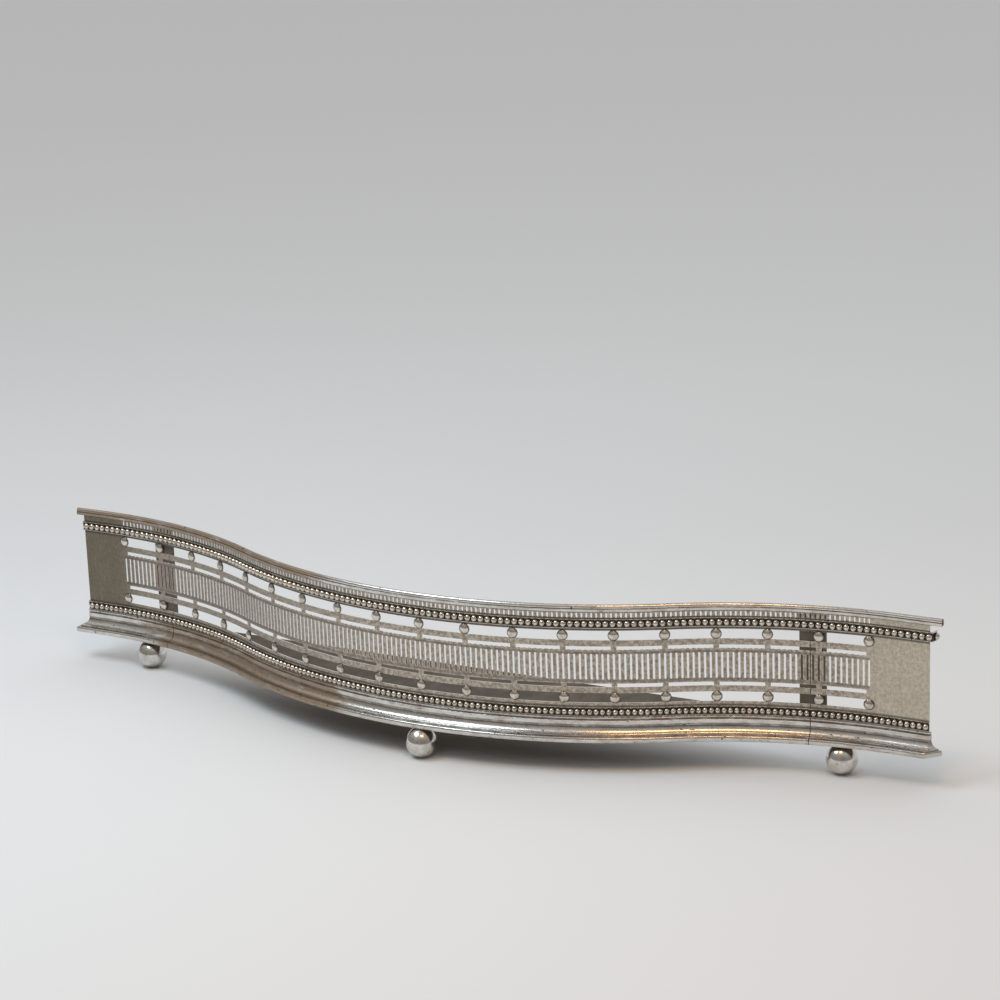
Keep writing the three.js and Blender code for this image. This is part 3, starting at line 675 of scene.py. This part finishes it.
# two tones, the noise pattern that puts the second over the first, and how it stands out
plainLooks = dict(
    cutEdge=dict(               # walls of the slots and openings: filed bright, with a painted reflection of the pale floor
        under=(0.88, 0.85, 0.8), over=(0.64, 0.6, 0.54), pattern=(600, 3, 0.6), shown=(0.4, 0.65),
        bump=(0.3, 0.1 * mm), roughness=0.5, metallic=0.2),
    dirtAndShadeChannel=dict(          # old polish and dirt that fill the channel between the beads, near-black also as painted shade
        under=(0.028, 0.024, 0.021), over=(0.085, 0.066, 0.05), pattern=(260, 5, 0.6),
        shown=(0.35, 0.7), bump=(0.5, 0.4 * mm), roughness=0.6, metallic=0.4),
    railEnd=dict(               # sawn end of the rail: rusty red-brown with orange clouds
        under=(0.1, 0.03, 0.02), over=(0.3, 0.1, 0.035), pattern=(500, 4, 0.6), shown=(0.4, 0.65),
        bump=(0.4, 0.3 * mm), roughness=0.6, metallic=0.5),
)


def plainFinish(name):
    # the second tone lies over the first where one noise pattern is high, and the same pattern is the
    # relief
    look = plainLooks[name]
    finish, shader = newFinish(name)
    pattern = noise(finish, frontPlace(finish), *look["pattern"])
    tone = layer(finish, pattern, look["shown"], look["under"], look["over"])
    relief = bump(finish, pattern, *look["bump"])
    return dress(finish, shader, tone, look["roughness"], relief, look["metallic"])


sheetFinish = wornSteel()
plinthFinish, railFinish, rimFinish = (moulding(name, **own) for name, own in mouldingLooks.items())
edgeFinish, channelFinish, railEndFinish = (plainFinish(name) for name in plainLooks)
beadFinish, studFinish, footFinish = (brightSteel(name) for name in brightLooks)
innerFinish = innerSteel()
print("finishes made")


def inBayOpening(s):
    # true where s lies in a wide opening, between two uprights
    bay, upright = frontSheet["bay"], frontSheet["upright"]
    inBay = np.mod(s - firstStud, bay)
    return (s > firstStud) & (s < lastStud) & (inBay > upright / 2) & (inBay < bay - upright / 2)


def slotMiddles(pitch):
    count = round((lastStud - firstStud) / pitch)
    return np.linspace(firstStud, lastStud, count + 1)


def fromNearest(s, middles):
    # signed distance to the nearest of the evenly spaced middles
    pitch = middles[1] - middles[0]
    nearest = np.clip(np.round((s - middles[0]) / pitch), 0, len(middles) - 1)
    return s - (middles[0] + nearest * pitch)


def roundedEnd(s, middles, width):
    # how far a slot's rounded end stands back from its full length, at s
    d = np.minimum(np.abs(fromNearest(s, middles)), width / 2)
    return width / 2 - np.sqrt(np.maximum((width / 2) ** 2 - d ** 2, 0))


def sheetZones():
    # bands of the sheet from the bottom up; each is a grid of marks along the front against rows of
    # heights, which are functions of s, and every row of cells has a test for what is cut away; the
    # end of a slot is the height less the rise of a half circle, and the scalloped edge a parabola
    # over each tall slot
    q = frontSheet
    low, high = heights("front_sheet_centre")
    upperThin = tallHead + q["land"]
    upperOpening = upperThin + q["thinSlot"] + q["band"]
    gallery = stripHigh + q["galleryFoot"]
    bayEdges = np.concatenate([studLines[:-1] + q["upright"] / 2, studLines[1:] - q["upright"] / 2])
    tallMiddles, galleryMiddles = slotMiddles(tallPitch), slotMiddles(q["galleryPitch"])
    w, g, v = q["tallWidth"], q["grooveWidth"], q["galleryWidth"]
    acrossSlot = np.array([-0.5, -0.42, -0.25, 0, 0.25, 0.42, 0.5])
    bars = (tallMiddles[:-1] + tallMiddles[1:]) / 2
    tallMarks = np.concatenate([
        (tallMiddles[:, None] + w * acrossSlot).ravel(),
        (bars[:, None] + g * np.array([-0.5, 0, 0.5])).ravel(),
    ])
    galleryMarks = (galleryMiddles[:, None] + v * acrossSlot[[0, 2, 3, 4, 6]]).ravel()
    scallopMarks = spread(np.concatenate([tallMiddles, bars]), tallPitch / q["scallopFaces"])

    def flat(z):
        return lambda s: z + 0 * s

    def slotFoot(z, middles, width):
        return lambda s: z + roundedEnd(s, middles, width)

    def slotHead(z, middles, width):
        return lambda s: z - roundedEnd(s, middles, width)

    def scalloped(z):
        return lambda s: z - q["scallop"] / 2 + q["scallop"] * (
            1 - (2 * fromNearest(s, tallMiddles) / tallPitch).clip(-1, 1) ** 2)

    def solid(s):
        return np.zeros(len(s), bool)

    def inSlot(middles, width):
        return lambda s: np.abs(fromNearest(s, middles)) < width / 2

    inTallSlot, inGallerySlot = inSlot(tallMiddles, w), inSlot(galleryMiddles, v)
    short, tiny = 1.6 * mm, 0.5 * mm    # from a slot's end to its straight part; between rows
    return [
        dict(marks=bayEdges, cut=[solid, inBayOpening, solid, inBayOpening, solid], rows=[
            flat(low), flat(lowerOpening), flat(lowerOpening + q["opening"]), flat(lowerThin),
            flat(lowerThin + q["thinSlot"]), flat(tallFoot - 2 * tiny)]),
        dict(marks=tallMarks, grooved=(tallFoot + short, tallHead - short),
             cut=[solid, inTallSlot, inTallSlot, inTallSlot, solid], rows=[
            flat(tallFoot - tiny), slotFoot(tallFoot, tallMiddles, w), flat(tallFoot + short),
            flat(tallHead - short), slotHead(tallHead, tallMiddles, w), flat(tallHead + tiny)]),
        dict(marks=np.concatenate([scallopMarks, bayEdges]), cut=[solid, inBayOpening, solid], rows=[
            flat(tallHead + 2 * tiny), scalloped(upperThin),
            flat(upperThin + q["thinSlot"]), flat(upperThin + q["thinSlot"] + 2 * tiny)]),
        dict(marks=bayEdges, cut=[solid, inBayOpening, solid], rows=[
            flat(upperThin + q["thinSlot"] + 4 * tiny), flat(upperOpening),
            flat(upperOpening + q["opening"]), flat(gallery - 2 * tiny)]),
        dict(marks=galleryMarks, cut=[solid, inGallerySlot, solid], rows=[
            flat(gallery - tiny), slotFoot(gallery, galleryMiddles, v),
            slotHead(gallery + q["gallerySlot"], galleryMiddles, v), flat(high)]),
    ]


def zipRows(lower, lowerMarks, upper, upperMarks):
    # joins two rows of points with triangles, always stepping along the row that lags behind
    steps = np.concatenate([lowerMarks[1:], upperMarks[1:]])
    onLower = np.concatenate([np.ones(len(lower) - 1, int), np.zeros(len(upper) - 1, int)])
    onLower = onLower[np.argsort(steps, kind="stable")]
    i = np.cumsum(onLower) - onLower
    j = np.cumsum(1 - onLower) - (1 - onLower)
    thirdLow = lower[np.minimum(i + 1, len(lower) - 1)]
    thirdHigh = upper[np.minimum(j + 1, len(upper) - 1)]
    return np.stack([lower[i], np.where(onLower == 1, thirdLow, thirdHigh), upper[j]], axis=-1)


def zoneFaces(front, back, solid, openBelow, openAbove):
    # front, back and edge faces of a grid of cells, where only some of the cells are solid
    def corners(index):
        return index[:-1, :-1], index[:-1, 1:], index[1:, 1:], index[1:, :-1]

    f, b = corners(front), corners(back)
    faces = [quads(*(c[solid] for c in f)), quads(*(b[k][solid] for k in (0, 3, 2, 1)))]
    walls = []
    across = np.pad(solid, ((0, 0), (1, 1)))
    upward = np.pad(solid, ((1, 0), (0, 0)), constant_values=not openBelow)
    upward = np.pad(upward, ((0, 1), (0, 0)), constant_values=not openAbove)
    upright = (front[:-1], back[:-1], back[1:], front[1:])
    level = (front[:, :-1], front[:, 1:], back[:, 1:], back[:, :-1])
    for wall, one, other in (
        (upright, across[:, :-1], across[:, 1:]),
        (level, upward[:-1], upward[1:]),
    ):
        walls.append(quads(*(c[one & ~other] for c in wall)))
        walls.append(quads(*(c[~one & other] for c in wall[::-1])))
    return faces, walls


def addSheet(name, start, end):
    # each band's grid, carried half the sheet's thickness in front of the curve and behind it, with
    # walls round what is cut away and triangles from band to band
    zones = sheetZones()
    allPoints, allPlaces, faces, walls = [], [], [], []
    count, below = 0, None
    for k, zone in enumerate(zones):
        edges, clear = zone["marks"], frontSheet["endClear"]
        edges = edges[(edges > start + clear) & (edges < end - clear)]
        marks = spread(np.concatenate([[start], edges, [end]]), frontSheet["step"])
        z = np.stack([row(marks) for row in zone["rows"]])
        s = np.broadcast_to(marks, z.shape)
        offset = np.full(z.shape, halfSheet)
        if "grooved" in zone:
            onBar = np.abs(np.abs(fromNearest(s, slotMiddles(tallPitch))) - tallPitch / 2) < 0.01 * mm
            low, high = zone["grooved"]
            inSlots = (s > firstStud) & (s < lastStud)
            offset = offset - frontSheet["groove"] * (onBar & inSlots & (z >= low) & (z <= high))
        for o in (offset, np.full(z.shape, -halfSheet)):
            allPoints.append(place(s, o, z).reshape(-1, 3))
            allPlaces.append(np.stack([s, z, o], axis=-1).reshape(-1, 3))
        front = count + np.arange(z.size).reshape(z.shape)
        back = front + z.size
        count += 2 * z.size
        middles = (marks[1:] + marks[:-1]) / 2
        solid = ~np.stack([cut(middles) for cut in zone["cut"]])
        zoneSides, zoneWalls = zoneFaces(front, back, solid, k == 0, k == len(zones) - 1)
        faces += zoneSides
        walls += zoneWalls
        if below is not None:
            lowFront, lowBack, lowMarks = below
            faces.append(zipRows(lowFront, lowMarks, front[0], marks))
            faces.append(zipRows(lowBack, lowMarks, back[0], marks)[:, ::-1])
            faces.append(np.array([
                [lowBack[0], lowFront[0], front[0][0], back[0][0]],
                [lowFront[-1], lowBack[-1], back[0][-1], front[0][-1]],
            ]))
        below = front[-1], back[-1], marks
    numbers = [0] * len(faces) + [1] * len(walls)
    part = (np.concatenate(allPoints), np.concatenate(allPlaces), faces + walls, numbers)
    finishes = [sheetFinish, edgeFinish]
    return addPiece(f"frontSheet_{name}", [part], finishes, [f"front_sheet_{name}"])


for section, (start, end) in sections.items():
    addSheet(section, start, end)
print("front sheets made")


plinthShape = dict(
    lipHeight=6.9 * mm,
    lipReach=4.4 * mm,
    lipThickness=2.4 * mm,
    coveStep=1.8 * mm,
    coveHeight=10.3 * mm,
    coveDepth=8.4 * mm,
    coveSpare=0.4 * mm,         # that the cove's ellipse is deeper than what shows of it
    stepFoot=0.8 * mm,          # soft inner corner at the foot of the cove's step
    stepLean=0.1 * mm,
    fasciaThickness=2.1 * mm,
    filletHeight=2.6 * mm,      # narrow round fillet along the top of the fascia
    quirk=1.5 * mm,             # sunk line under the fillet
    quirkDepth=0.8 * mm,
    edge=0.3 * mm,              # broken edges
    noseDepth=1.5 * mm,         # of the lip's rounded front
    endReturn=1.0 * mm,
    step=6 * mm,
    drift=0.2 * mm,
    driftSeed=11,
)


def plinthOutline():
    # section of the plinth: a half ellipse for the nose of the lip, a quarter ellipse for the cove, a
    # flat fascia, and a half ellipse for the fillet over a sunk line
    p = plinthShape
    bottom, top = heights("plinth_centre")
    lipTop = bottom + p["lipHeight"]
    coveBottom = lipTop + p["coveStep"]
    fasciaBottom = coveBottom + p["coveHeight"]
    fasciaFront = face + p["fasciaThickness"]
    coveFront = fasciaFront + p["coveDepth"]
    lipFront = coveFront + p["lipReach"]
    underside = heights("front_sheet_centre")[0]
    lipBack = lipFront - p["lipThickness"]
    half = p["lipHeight"] / 2
    filletBottom = top - p["filletHeight"]
    quirkBottom = filletBottom - p["quirk"]
    sunk = fasciaFront - p["quirkDepth"]
    edge, nose = p["edge"], p["noseDepth"]
    return np.concatenate([
        [(face, underside), (lipBack, underside), (lipBack, bottom)],
        arc((lipFront - nose, bottom + half), (nose, half), -90, 90, 10),
        [(coveFront + p["stepFoot"], lipTop), (coveFront + p["stepLean"], lipTop + edge)],
        arc((coveFront, fasciaBottom), (p["coveDepth"] + p["coveSpare"], p["coveHeight"]), 270, 184, 14),
        [(fasciaFront - edge, fasciaBottom), (fasciaFront, fasciaBottom + edge)],
        [(fasciaFront, quirkBottom - edge), (fasciaFront - edge, quirkBottom)],
        [(sunk, quirkBottom + edge), (sunk, filletBottom)],
        arc((sunk, (filletBottom + top) / 2), (p["quirkDepth"], p["filletHeight"] / 2), -80, 90, 8),
        [(face, top)],
    ])


def addPlinth(name, start, end):
    # the section carried along the front, and round the corner at a free end
    marks = [start, end]
    if name == "left":
        marks = [leftCorner - plinthShape["endReturn"], leftCorner, end]
    if name == "right":
        marks = [start, rightCorner, rightCorner + plinthShape["endReturn"]]
    outline = plinthOutline()
    bottom = heights("plinth_centre")[0]
    drift = plinthShape["drift"] * (outline[:, 0] > face) * (outline[:, 1] > bottom)
    marks = spread(np.array(marks), plinthShape["step"])
    part = (*sweep(outline, marks, sheetCorners, drift, plinthShape["driftSeed"]), 0)
    node = f"plinth_{name}"
    return addPiece(f"{node}_moulded", [part], [plinthFinish], [node])


for section, (start, end) in sections.items():
    addPlinth(section, start, end)
print("plinth made")


railShape = dict(
    baseWidth=7.2 * mm,
    baseHeight=3.9 * mm,
    rollRadius=3.1 * mm,
    wrap=29,                    # degrees that the roll curves in below its middle
    edge=0.5 * mm,
    pastLeft=9 * mm,
    pastRight=15 * mm,
    step=6 * mm,
    drift=0.12 * mm,
    driftSeed=5,
)


def addRail():
    # flat base with rounded edges and most of a circle on top, carried along the whole front; the
    # sheet's top edge stands in a groove below
    r = railShape
    low, high = heights("top_rail")
    groove = heights("front_sheet_centre")[1] + plan["gap"]
    half, edge, baseTop = r["baseWidth"] / 2, r["edge"], low + r["baseHeight"]
    rollMiddle = high - r["rollRadius"]
    outline = np.concatenate([
        [(-face, low), (-face, groove), (face, groove), (face, low)],
        arc((half - edge, low + edge), (edge, edge), -90, 0, 3),
        arc((half - edge, baseTop - edge), (edge, edge), 0, 90, 3),
        arc((0, rollMiddle), (r["rollRadius"],) * 2, -r["wrap"], 180 + r["wrap"], 18),
        arc((edge - half, baseTop - edge), (edge, edge), 90, 180, 3),
        arc((edge - half, low + edge), (edge, edge), 180, 270, 3),
    ])
    drift = r["drift"] * (np.abs(outline[:, 0]) > face)
    marks = spread(np.array([leftEnd - r["pastLeft"], rightEnd + r["pastRight"]]), r["step"])
    part = (*sweep(outline, marks, wave=drift, seed=r["driftSeed"]), [0, 0, 1, 0])
    finishes = [railFinish, railEndFinish]
    return addPiece("topRail", [part], finishes, ["top_rail"])


addRail()
print("top rail made")


# toEnd is from the middle of the last bead to the strip's end; the upper strip's right corner stands
# off from the sheet's
upperStrip = dict(pitch=8.3 * mm, bead=(7.3 * mm, 8.4 * mm), toEnd=4.2 * mm, standoff=4.2 * mm)
lowerStrip = dict(pitch=7.5 * mm, bead=(6.6 * mm, 7.6 * mm), toEnd=3.9 * mm)
troughShape = dict(
    base=0.8 * mm,
    rim=0.9 * mm,
    rimWidth=1.5 * mm,
    proud=4.8 * mm,             # of the beads, in front of the channel's floor
    solder=0.3 * mm,            # that they go into the floor
    corner=0.4 * mm,            # between the rim and the flat of the floor
    beadFaces=(12, 6),          # round and from back to front
    step=6 * mm,
)


def addStrip(name, node, strip, start, end, turnsLeft, turnsRight):
    # shallow trough with two half-round rims, carried along the front, and a row of evenly spaced
    # balls sunk in it; it may turn the corner at either end, for one more ball
    t = troughShape
    low, high = heights(node)
    corners = (start if turnsLeft else -math.inf, end if turnsRight else math.inf)
    toEnd = strip["toEnd"]
    count = round((end - start - 2 * toEnd) / strip["pitch"])
    middles = np.linspace(start + toEnd, end - toEnd, count + 1)
    ends = np.array([start - 2 * toEnd * turnsLeft, start, end, end + 2 * toEnd * turnsRight])
    if turnsLeft:
        middles = np.insert(middles, 0, start - toEnd)
    if turnsRight:
        middles = np.append(middles, end + toEnd)
    floor = face + t["base"]
    rim = floor + t["rim"]
    half, wide = t["rimWidth"] / 2, t["rimWidth"] + t["corner"]
    outline = np.concatenate([
        [(face, low)],
        arc((rim - half, low + half), (half, half), -90, 90, 4),
        [(floor, low + wide), (floor, high - wide)],
        arc((rim - half, high - half), (half, half), -90, 90, 4),
        [(face, high)],
    ])
    onFloor = np.isclose(outline[:, 0], floor)
    inChannel = onFloor | np.roll(onFloor, -1)
    trough = (*sweep(outline, spread(ends, t["step"]), corners, other=inChannel), [0, 0, 0, 1])
    across, tall = (size / 2 for size in strip["bead"])
    sunk = floor + t["proud"] - across
    back = sunk - floor + t["solder"]
    radii = (across, across, tall)
    beads = (*balls(middles, sunk, (low + high) / 2, radii, back, *t["beadFaces"], corners), 2)
    finishes = [rimFinish, channelFinish, beadFinish]
    return addPiece(name, [trough, beads], finishes, [node])


upperEnd = rightCorner + upperStrip["standoff"]
addStrip("upperBeads", "upper_bead_strip", upperStrip, leftCorner, upperEnd, True, True)
for section, (start, end) in sections.items():
    turns = section == "left"
    first = leftCorner if turns else start
    addStrip(f"lowerBeads_{section}", f"lower_bead_strip_{section}", lowerStrip, first, end, turns, False)
print("beaded strips made")


studShape = dict(
    radius=6.6 * mm,
    edge=0.6 * mm,              # upright edge under the dome
    dome=2.9 * mm,              # rise of the dome above its edge
    shank=1.2 * mm,
    tail=0.85 * mm,
    strap=1.6 * mm,
    rivet=2.3 * mm,
    bevel=0.2 * mm,
    underTail=0.05 * mm,        # from what it is riveted on to the peened end
    around=32,
)


def addStud(row, number, s):
    # domed head on the face of the sheet, shank and a peened end behind: one profile of arcs and
    # straights, turned about the stud's axis
    q = studShape
    node = f"stud_{row}_{number:02d}"
    z = middleOf(node)[2]
    throughStrap = number in (2, len(studLines) - 1)
    behind = face + q["strap"] if throughStrap else halfSheet
    domeRadius = (q["radius"] ** 2 + q["dome"] ** 2) / (2 * q["dome"])
    top = face + q["edge"] + q["dome"]
    start = math.degrees(math.acos(q["radius"] / domeRadius))
    dome = arc((0, top - domeRadius), (domeRadius, domeRadius), start, 90, 12)[:-1]
    bevel, peenedFrom = q["bevel"], -behind - q["underTail"]
    head = np.concatenate([[(q["radius"] - bevel, face), (q["radius"], face + bevel)], dome])
    peened = arc((0, peenedFrom), (q["rivet"], q["tail"]), 270, 360, 4)[1:]
    profile = np.concatenate([peened, [(q["shank"], -behind), (q["shank"], face)], head])
    turn = np.linspace(0, 2 * math.pi, q["around"], endpoint=False)
    placeS = s + profile[:, :1] * np.cos(turn)
    placeZ = z + profile[:, :1] * np.sin(turn)
    placeO = profile[:, 1:] + 0 * turn
    ends = (peenedFrom - q["tail"], top)
    ring = place(placeS, placeO, placeZ).reshape(-1, 3)
    poles = place(np.array([s, s]), np.array(ends), np.array([z, z]))
    points = np.concatenate([poles[:1], ring, poles[1:]])
    fromAxis = np.concatenate([[0], np.repeat(profile[:, 0], len(turn)), [0]])
    places = np.stack([fromAxis, points[:, 2], 0 * fromAxis], axis=-1)
    part = (points, places, turnedFaces(*placeS.shape), 0)
    return addPiece(f"studHead_{row}_{number:02d}", [part], [studFinish], [node])


for k, s in enumerate(studLines):
    addStud("lower", k + 1, s)
    addStud("upper", k + 1, s)


footShape = dict(
    radius=19.05 * mm,
    flat=4 * mm,                # radius of the worn flat below, and of the one above
    spigot=3 * mm,
    around=72,
    arcSteps=40,
)


def addFoot(name):
    # circle cut by a small flat, with a spigot on top, turned about the foot's upright axis
    node = f"ball_foot_{name}"
    x, y, _ = middleOf(node)
    q = footShape
    top = heights(node)[1]
    middle = math.sqrt(q["radius"] ** 2 - q["flat"] ** 2)
    tilt = math.degrees(math.asin(middle / q["radius"]))
    ball = arc((0, middle), (q["radius"], q["radius"]), -tilt, tilt, q["arcSteps"])
    profile = np.concatenate([[(0, 0)], ball, [(q["spigot"], 2 * middle), (q["spigot"], top), (0, top)]])
    points, places, faces = lathe((x, y), profile, q["around"])
    part = (points, places, faces, 0)
    return addPiece(f"ballFoot_{name}", [part], [footFinish], [node])


for name in ("left", "crest", "right"):
    addFoot(name)
print("studs and feet made")


for node in ("hearth_plate", "plate_ledge", "sole_strip", "splice_strap_left", "splice_strap_right"):
    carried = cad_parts[node]
    for slot in carried.material_slots:
        slot.material = innerFinish


paperFloor = dict(
    side=60,
    roughness=0.9,
    specular=0.1,
    # distance along the view's heading, from the point under the camera, and the paper's
    # reflectance there
    distances=(2.6, 3.1, 3.6, 4.3, 5.1, 6.8, 8.2, 12.0),
    tones=(0.745, 0.745, 0.75, 0.725, 0.745, 0.73, 0.71, 0.69),
    tint=(0.985, 0.993, 0.993),   # against the warm lamp's glow
)


def addFloor():
    # one large face of pale paper, whose tone is read off a ramp along the view's heading
    finish, shader = newFinish("paperFloor")
    azimuth = cameraView["azimuth"]
    along = (-math.sin(azimuth), math.cos(azimuth), 0)
    foot = Vector(cameraView["fromCrest"]) + Vector((crestX, crestY, 0))
    start = foot.x * along[0] + foot.y * along[1]
    inputs = {0: objectPlace(finish), 1: along}
    reach = addNode(finish, "ShaderNodeVectorMath", inputs, operation="DOT_PRODUCT")
    distance = maths(finish, "SUBTRACT", reach.outputs["Value"], start)
    far = paperFloor["distances"][-1]
    tones = addNode(finish, "ShaderNodeValToRGB", {"Fac": maths(finish, "DIVIDE", distance, far)})
    elements = tones.color_ramp.elements
    while len(elements) < len(paperFloor["tones"]):
        elements.new(0.5)
    for element, distance, tone in zip(elements, paperFloor["distances"], paperFloor["tones"]):
        element.position = distance / far
        element.color = (*(tone * tint for tint in paperFloor["tint"]), 1)
    feed(finish, shader.inputs["Base Color"], tones.outputs[0])
    shader.inputs["Roughness"].default_value = paperFloor["roughness"]
    shader.inputs["Specular IOR Level"].default_value = paperFloor["specular"]
    mesh = bpy.data.meshes.new("paperFloor")
    half = paperFloor["side"] / 2
    corners = [(-half, -half, 0), (half, -half, 0), (half, half, 0), (-half, half, 0)]
    mesh.from_pydata(corners, [], [(0, 1, 2, 3)])
    mesh.materials.append(finish)
    floor = newObject("paperFloor", mesh)


lamps = dict(
    softbox=dict(
        direction=(-0.38, -0.27, 0.87), distance=2.2, size=(1.15, 0.72), radiance=6.6,
        colour=(0.72, 0.88, 1.0)),
    warmLamp=dict(
        direction=(0.27, -0.36, 0.88), distance=2.0, size=(0.5, 0.3), radiance=10.0,
        colour=(1.0, 0.53, 0.18)),
)


def addLamp(name, direction, distance, size, radiance, colour):
    # soft rectangular lamp that faces the fender, set by how bright its own surface is
    data = bpy.data.lights.new(name, "AREA")
    data.shape = "RECTANGLE"
    data.size, data.size_y = size
    data.energy = radiance * math.pi * size[0] * size[1]
    data.color = colour
    lamp = newObject(name, data)
    away = Vector(direction).normalized()
    turn = (-away).to_track_quat("-Z", "Y").to_matrix().to_4x4()
    lamp.matrix_world = Matrix.Translation(away * distance) @ turn


roomLook = dict(
    horizon=(0.06, 0.045, 0.03),      # light that matt surfaces get from low down
    dome=(1.02, 1.02, 1.03),          # and from above
    front=(0.26, 0.245, 0.23),        # what polished surfaces show in front, low down
    back=(0.6, 0.6, 0.6),             # behind
    ceiling=(0.46, 0.45, 0.44),       # and above
    domeFrom=(0.25, 0.9),             # heights between which each begins and is full
    ceilingFrom=(0.3, 0.8),
    backFrom=(-0.1, 0.6),             # the same towards the back
)


def addWorld():
    # a pale dome lights matt surfaces from above; polished ones see a dark room in front, pale paper
    # behind and a dim ceiling
    look = roomLook
    world = bpy.data.worlds.new("studio")
    world.use_nodes = True
    bpy.context.scene.world = world
    background = world.node_tree.nodes["Background"]
    direction = addNode(world, "ShaderNodeTexCoord").outputs["Generated"]
    backward, upward = (axis(world, direction, number) for number in (1, 2))
    dome = layer(world, upward, look["domeFrom"], look["horizon"], look["dome"])
    room = layer(world, backward, look["backFrom"], look["front"], look["back"])
    room = layer(world, upward, look["ceilingFrom"], room, look["ceiling"])
    rays = addNode(world, "ShaderNodeLightPath")
    seen = mixColour(world, rays.outputs["Is Glossy Ray"], dome, room)
    feed(world, background.inputs["Color"], seen)
    background.inputs["Strength"].default_value = 1.0


addFloor()
addWorld()
for name, lamp in lamps.items():
    addLamp(name, **lamp)
bpy.context.scene.view_settings.view_transform = "Standard"
print("floor and light placed")
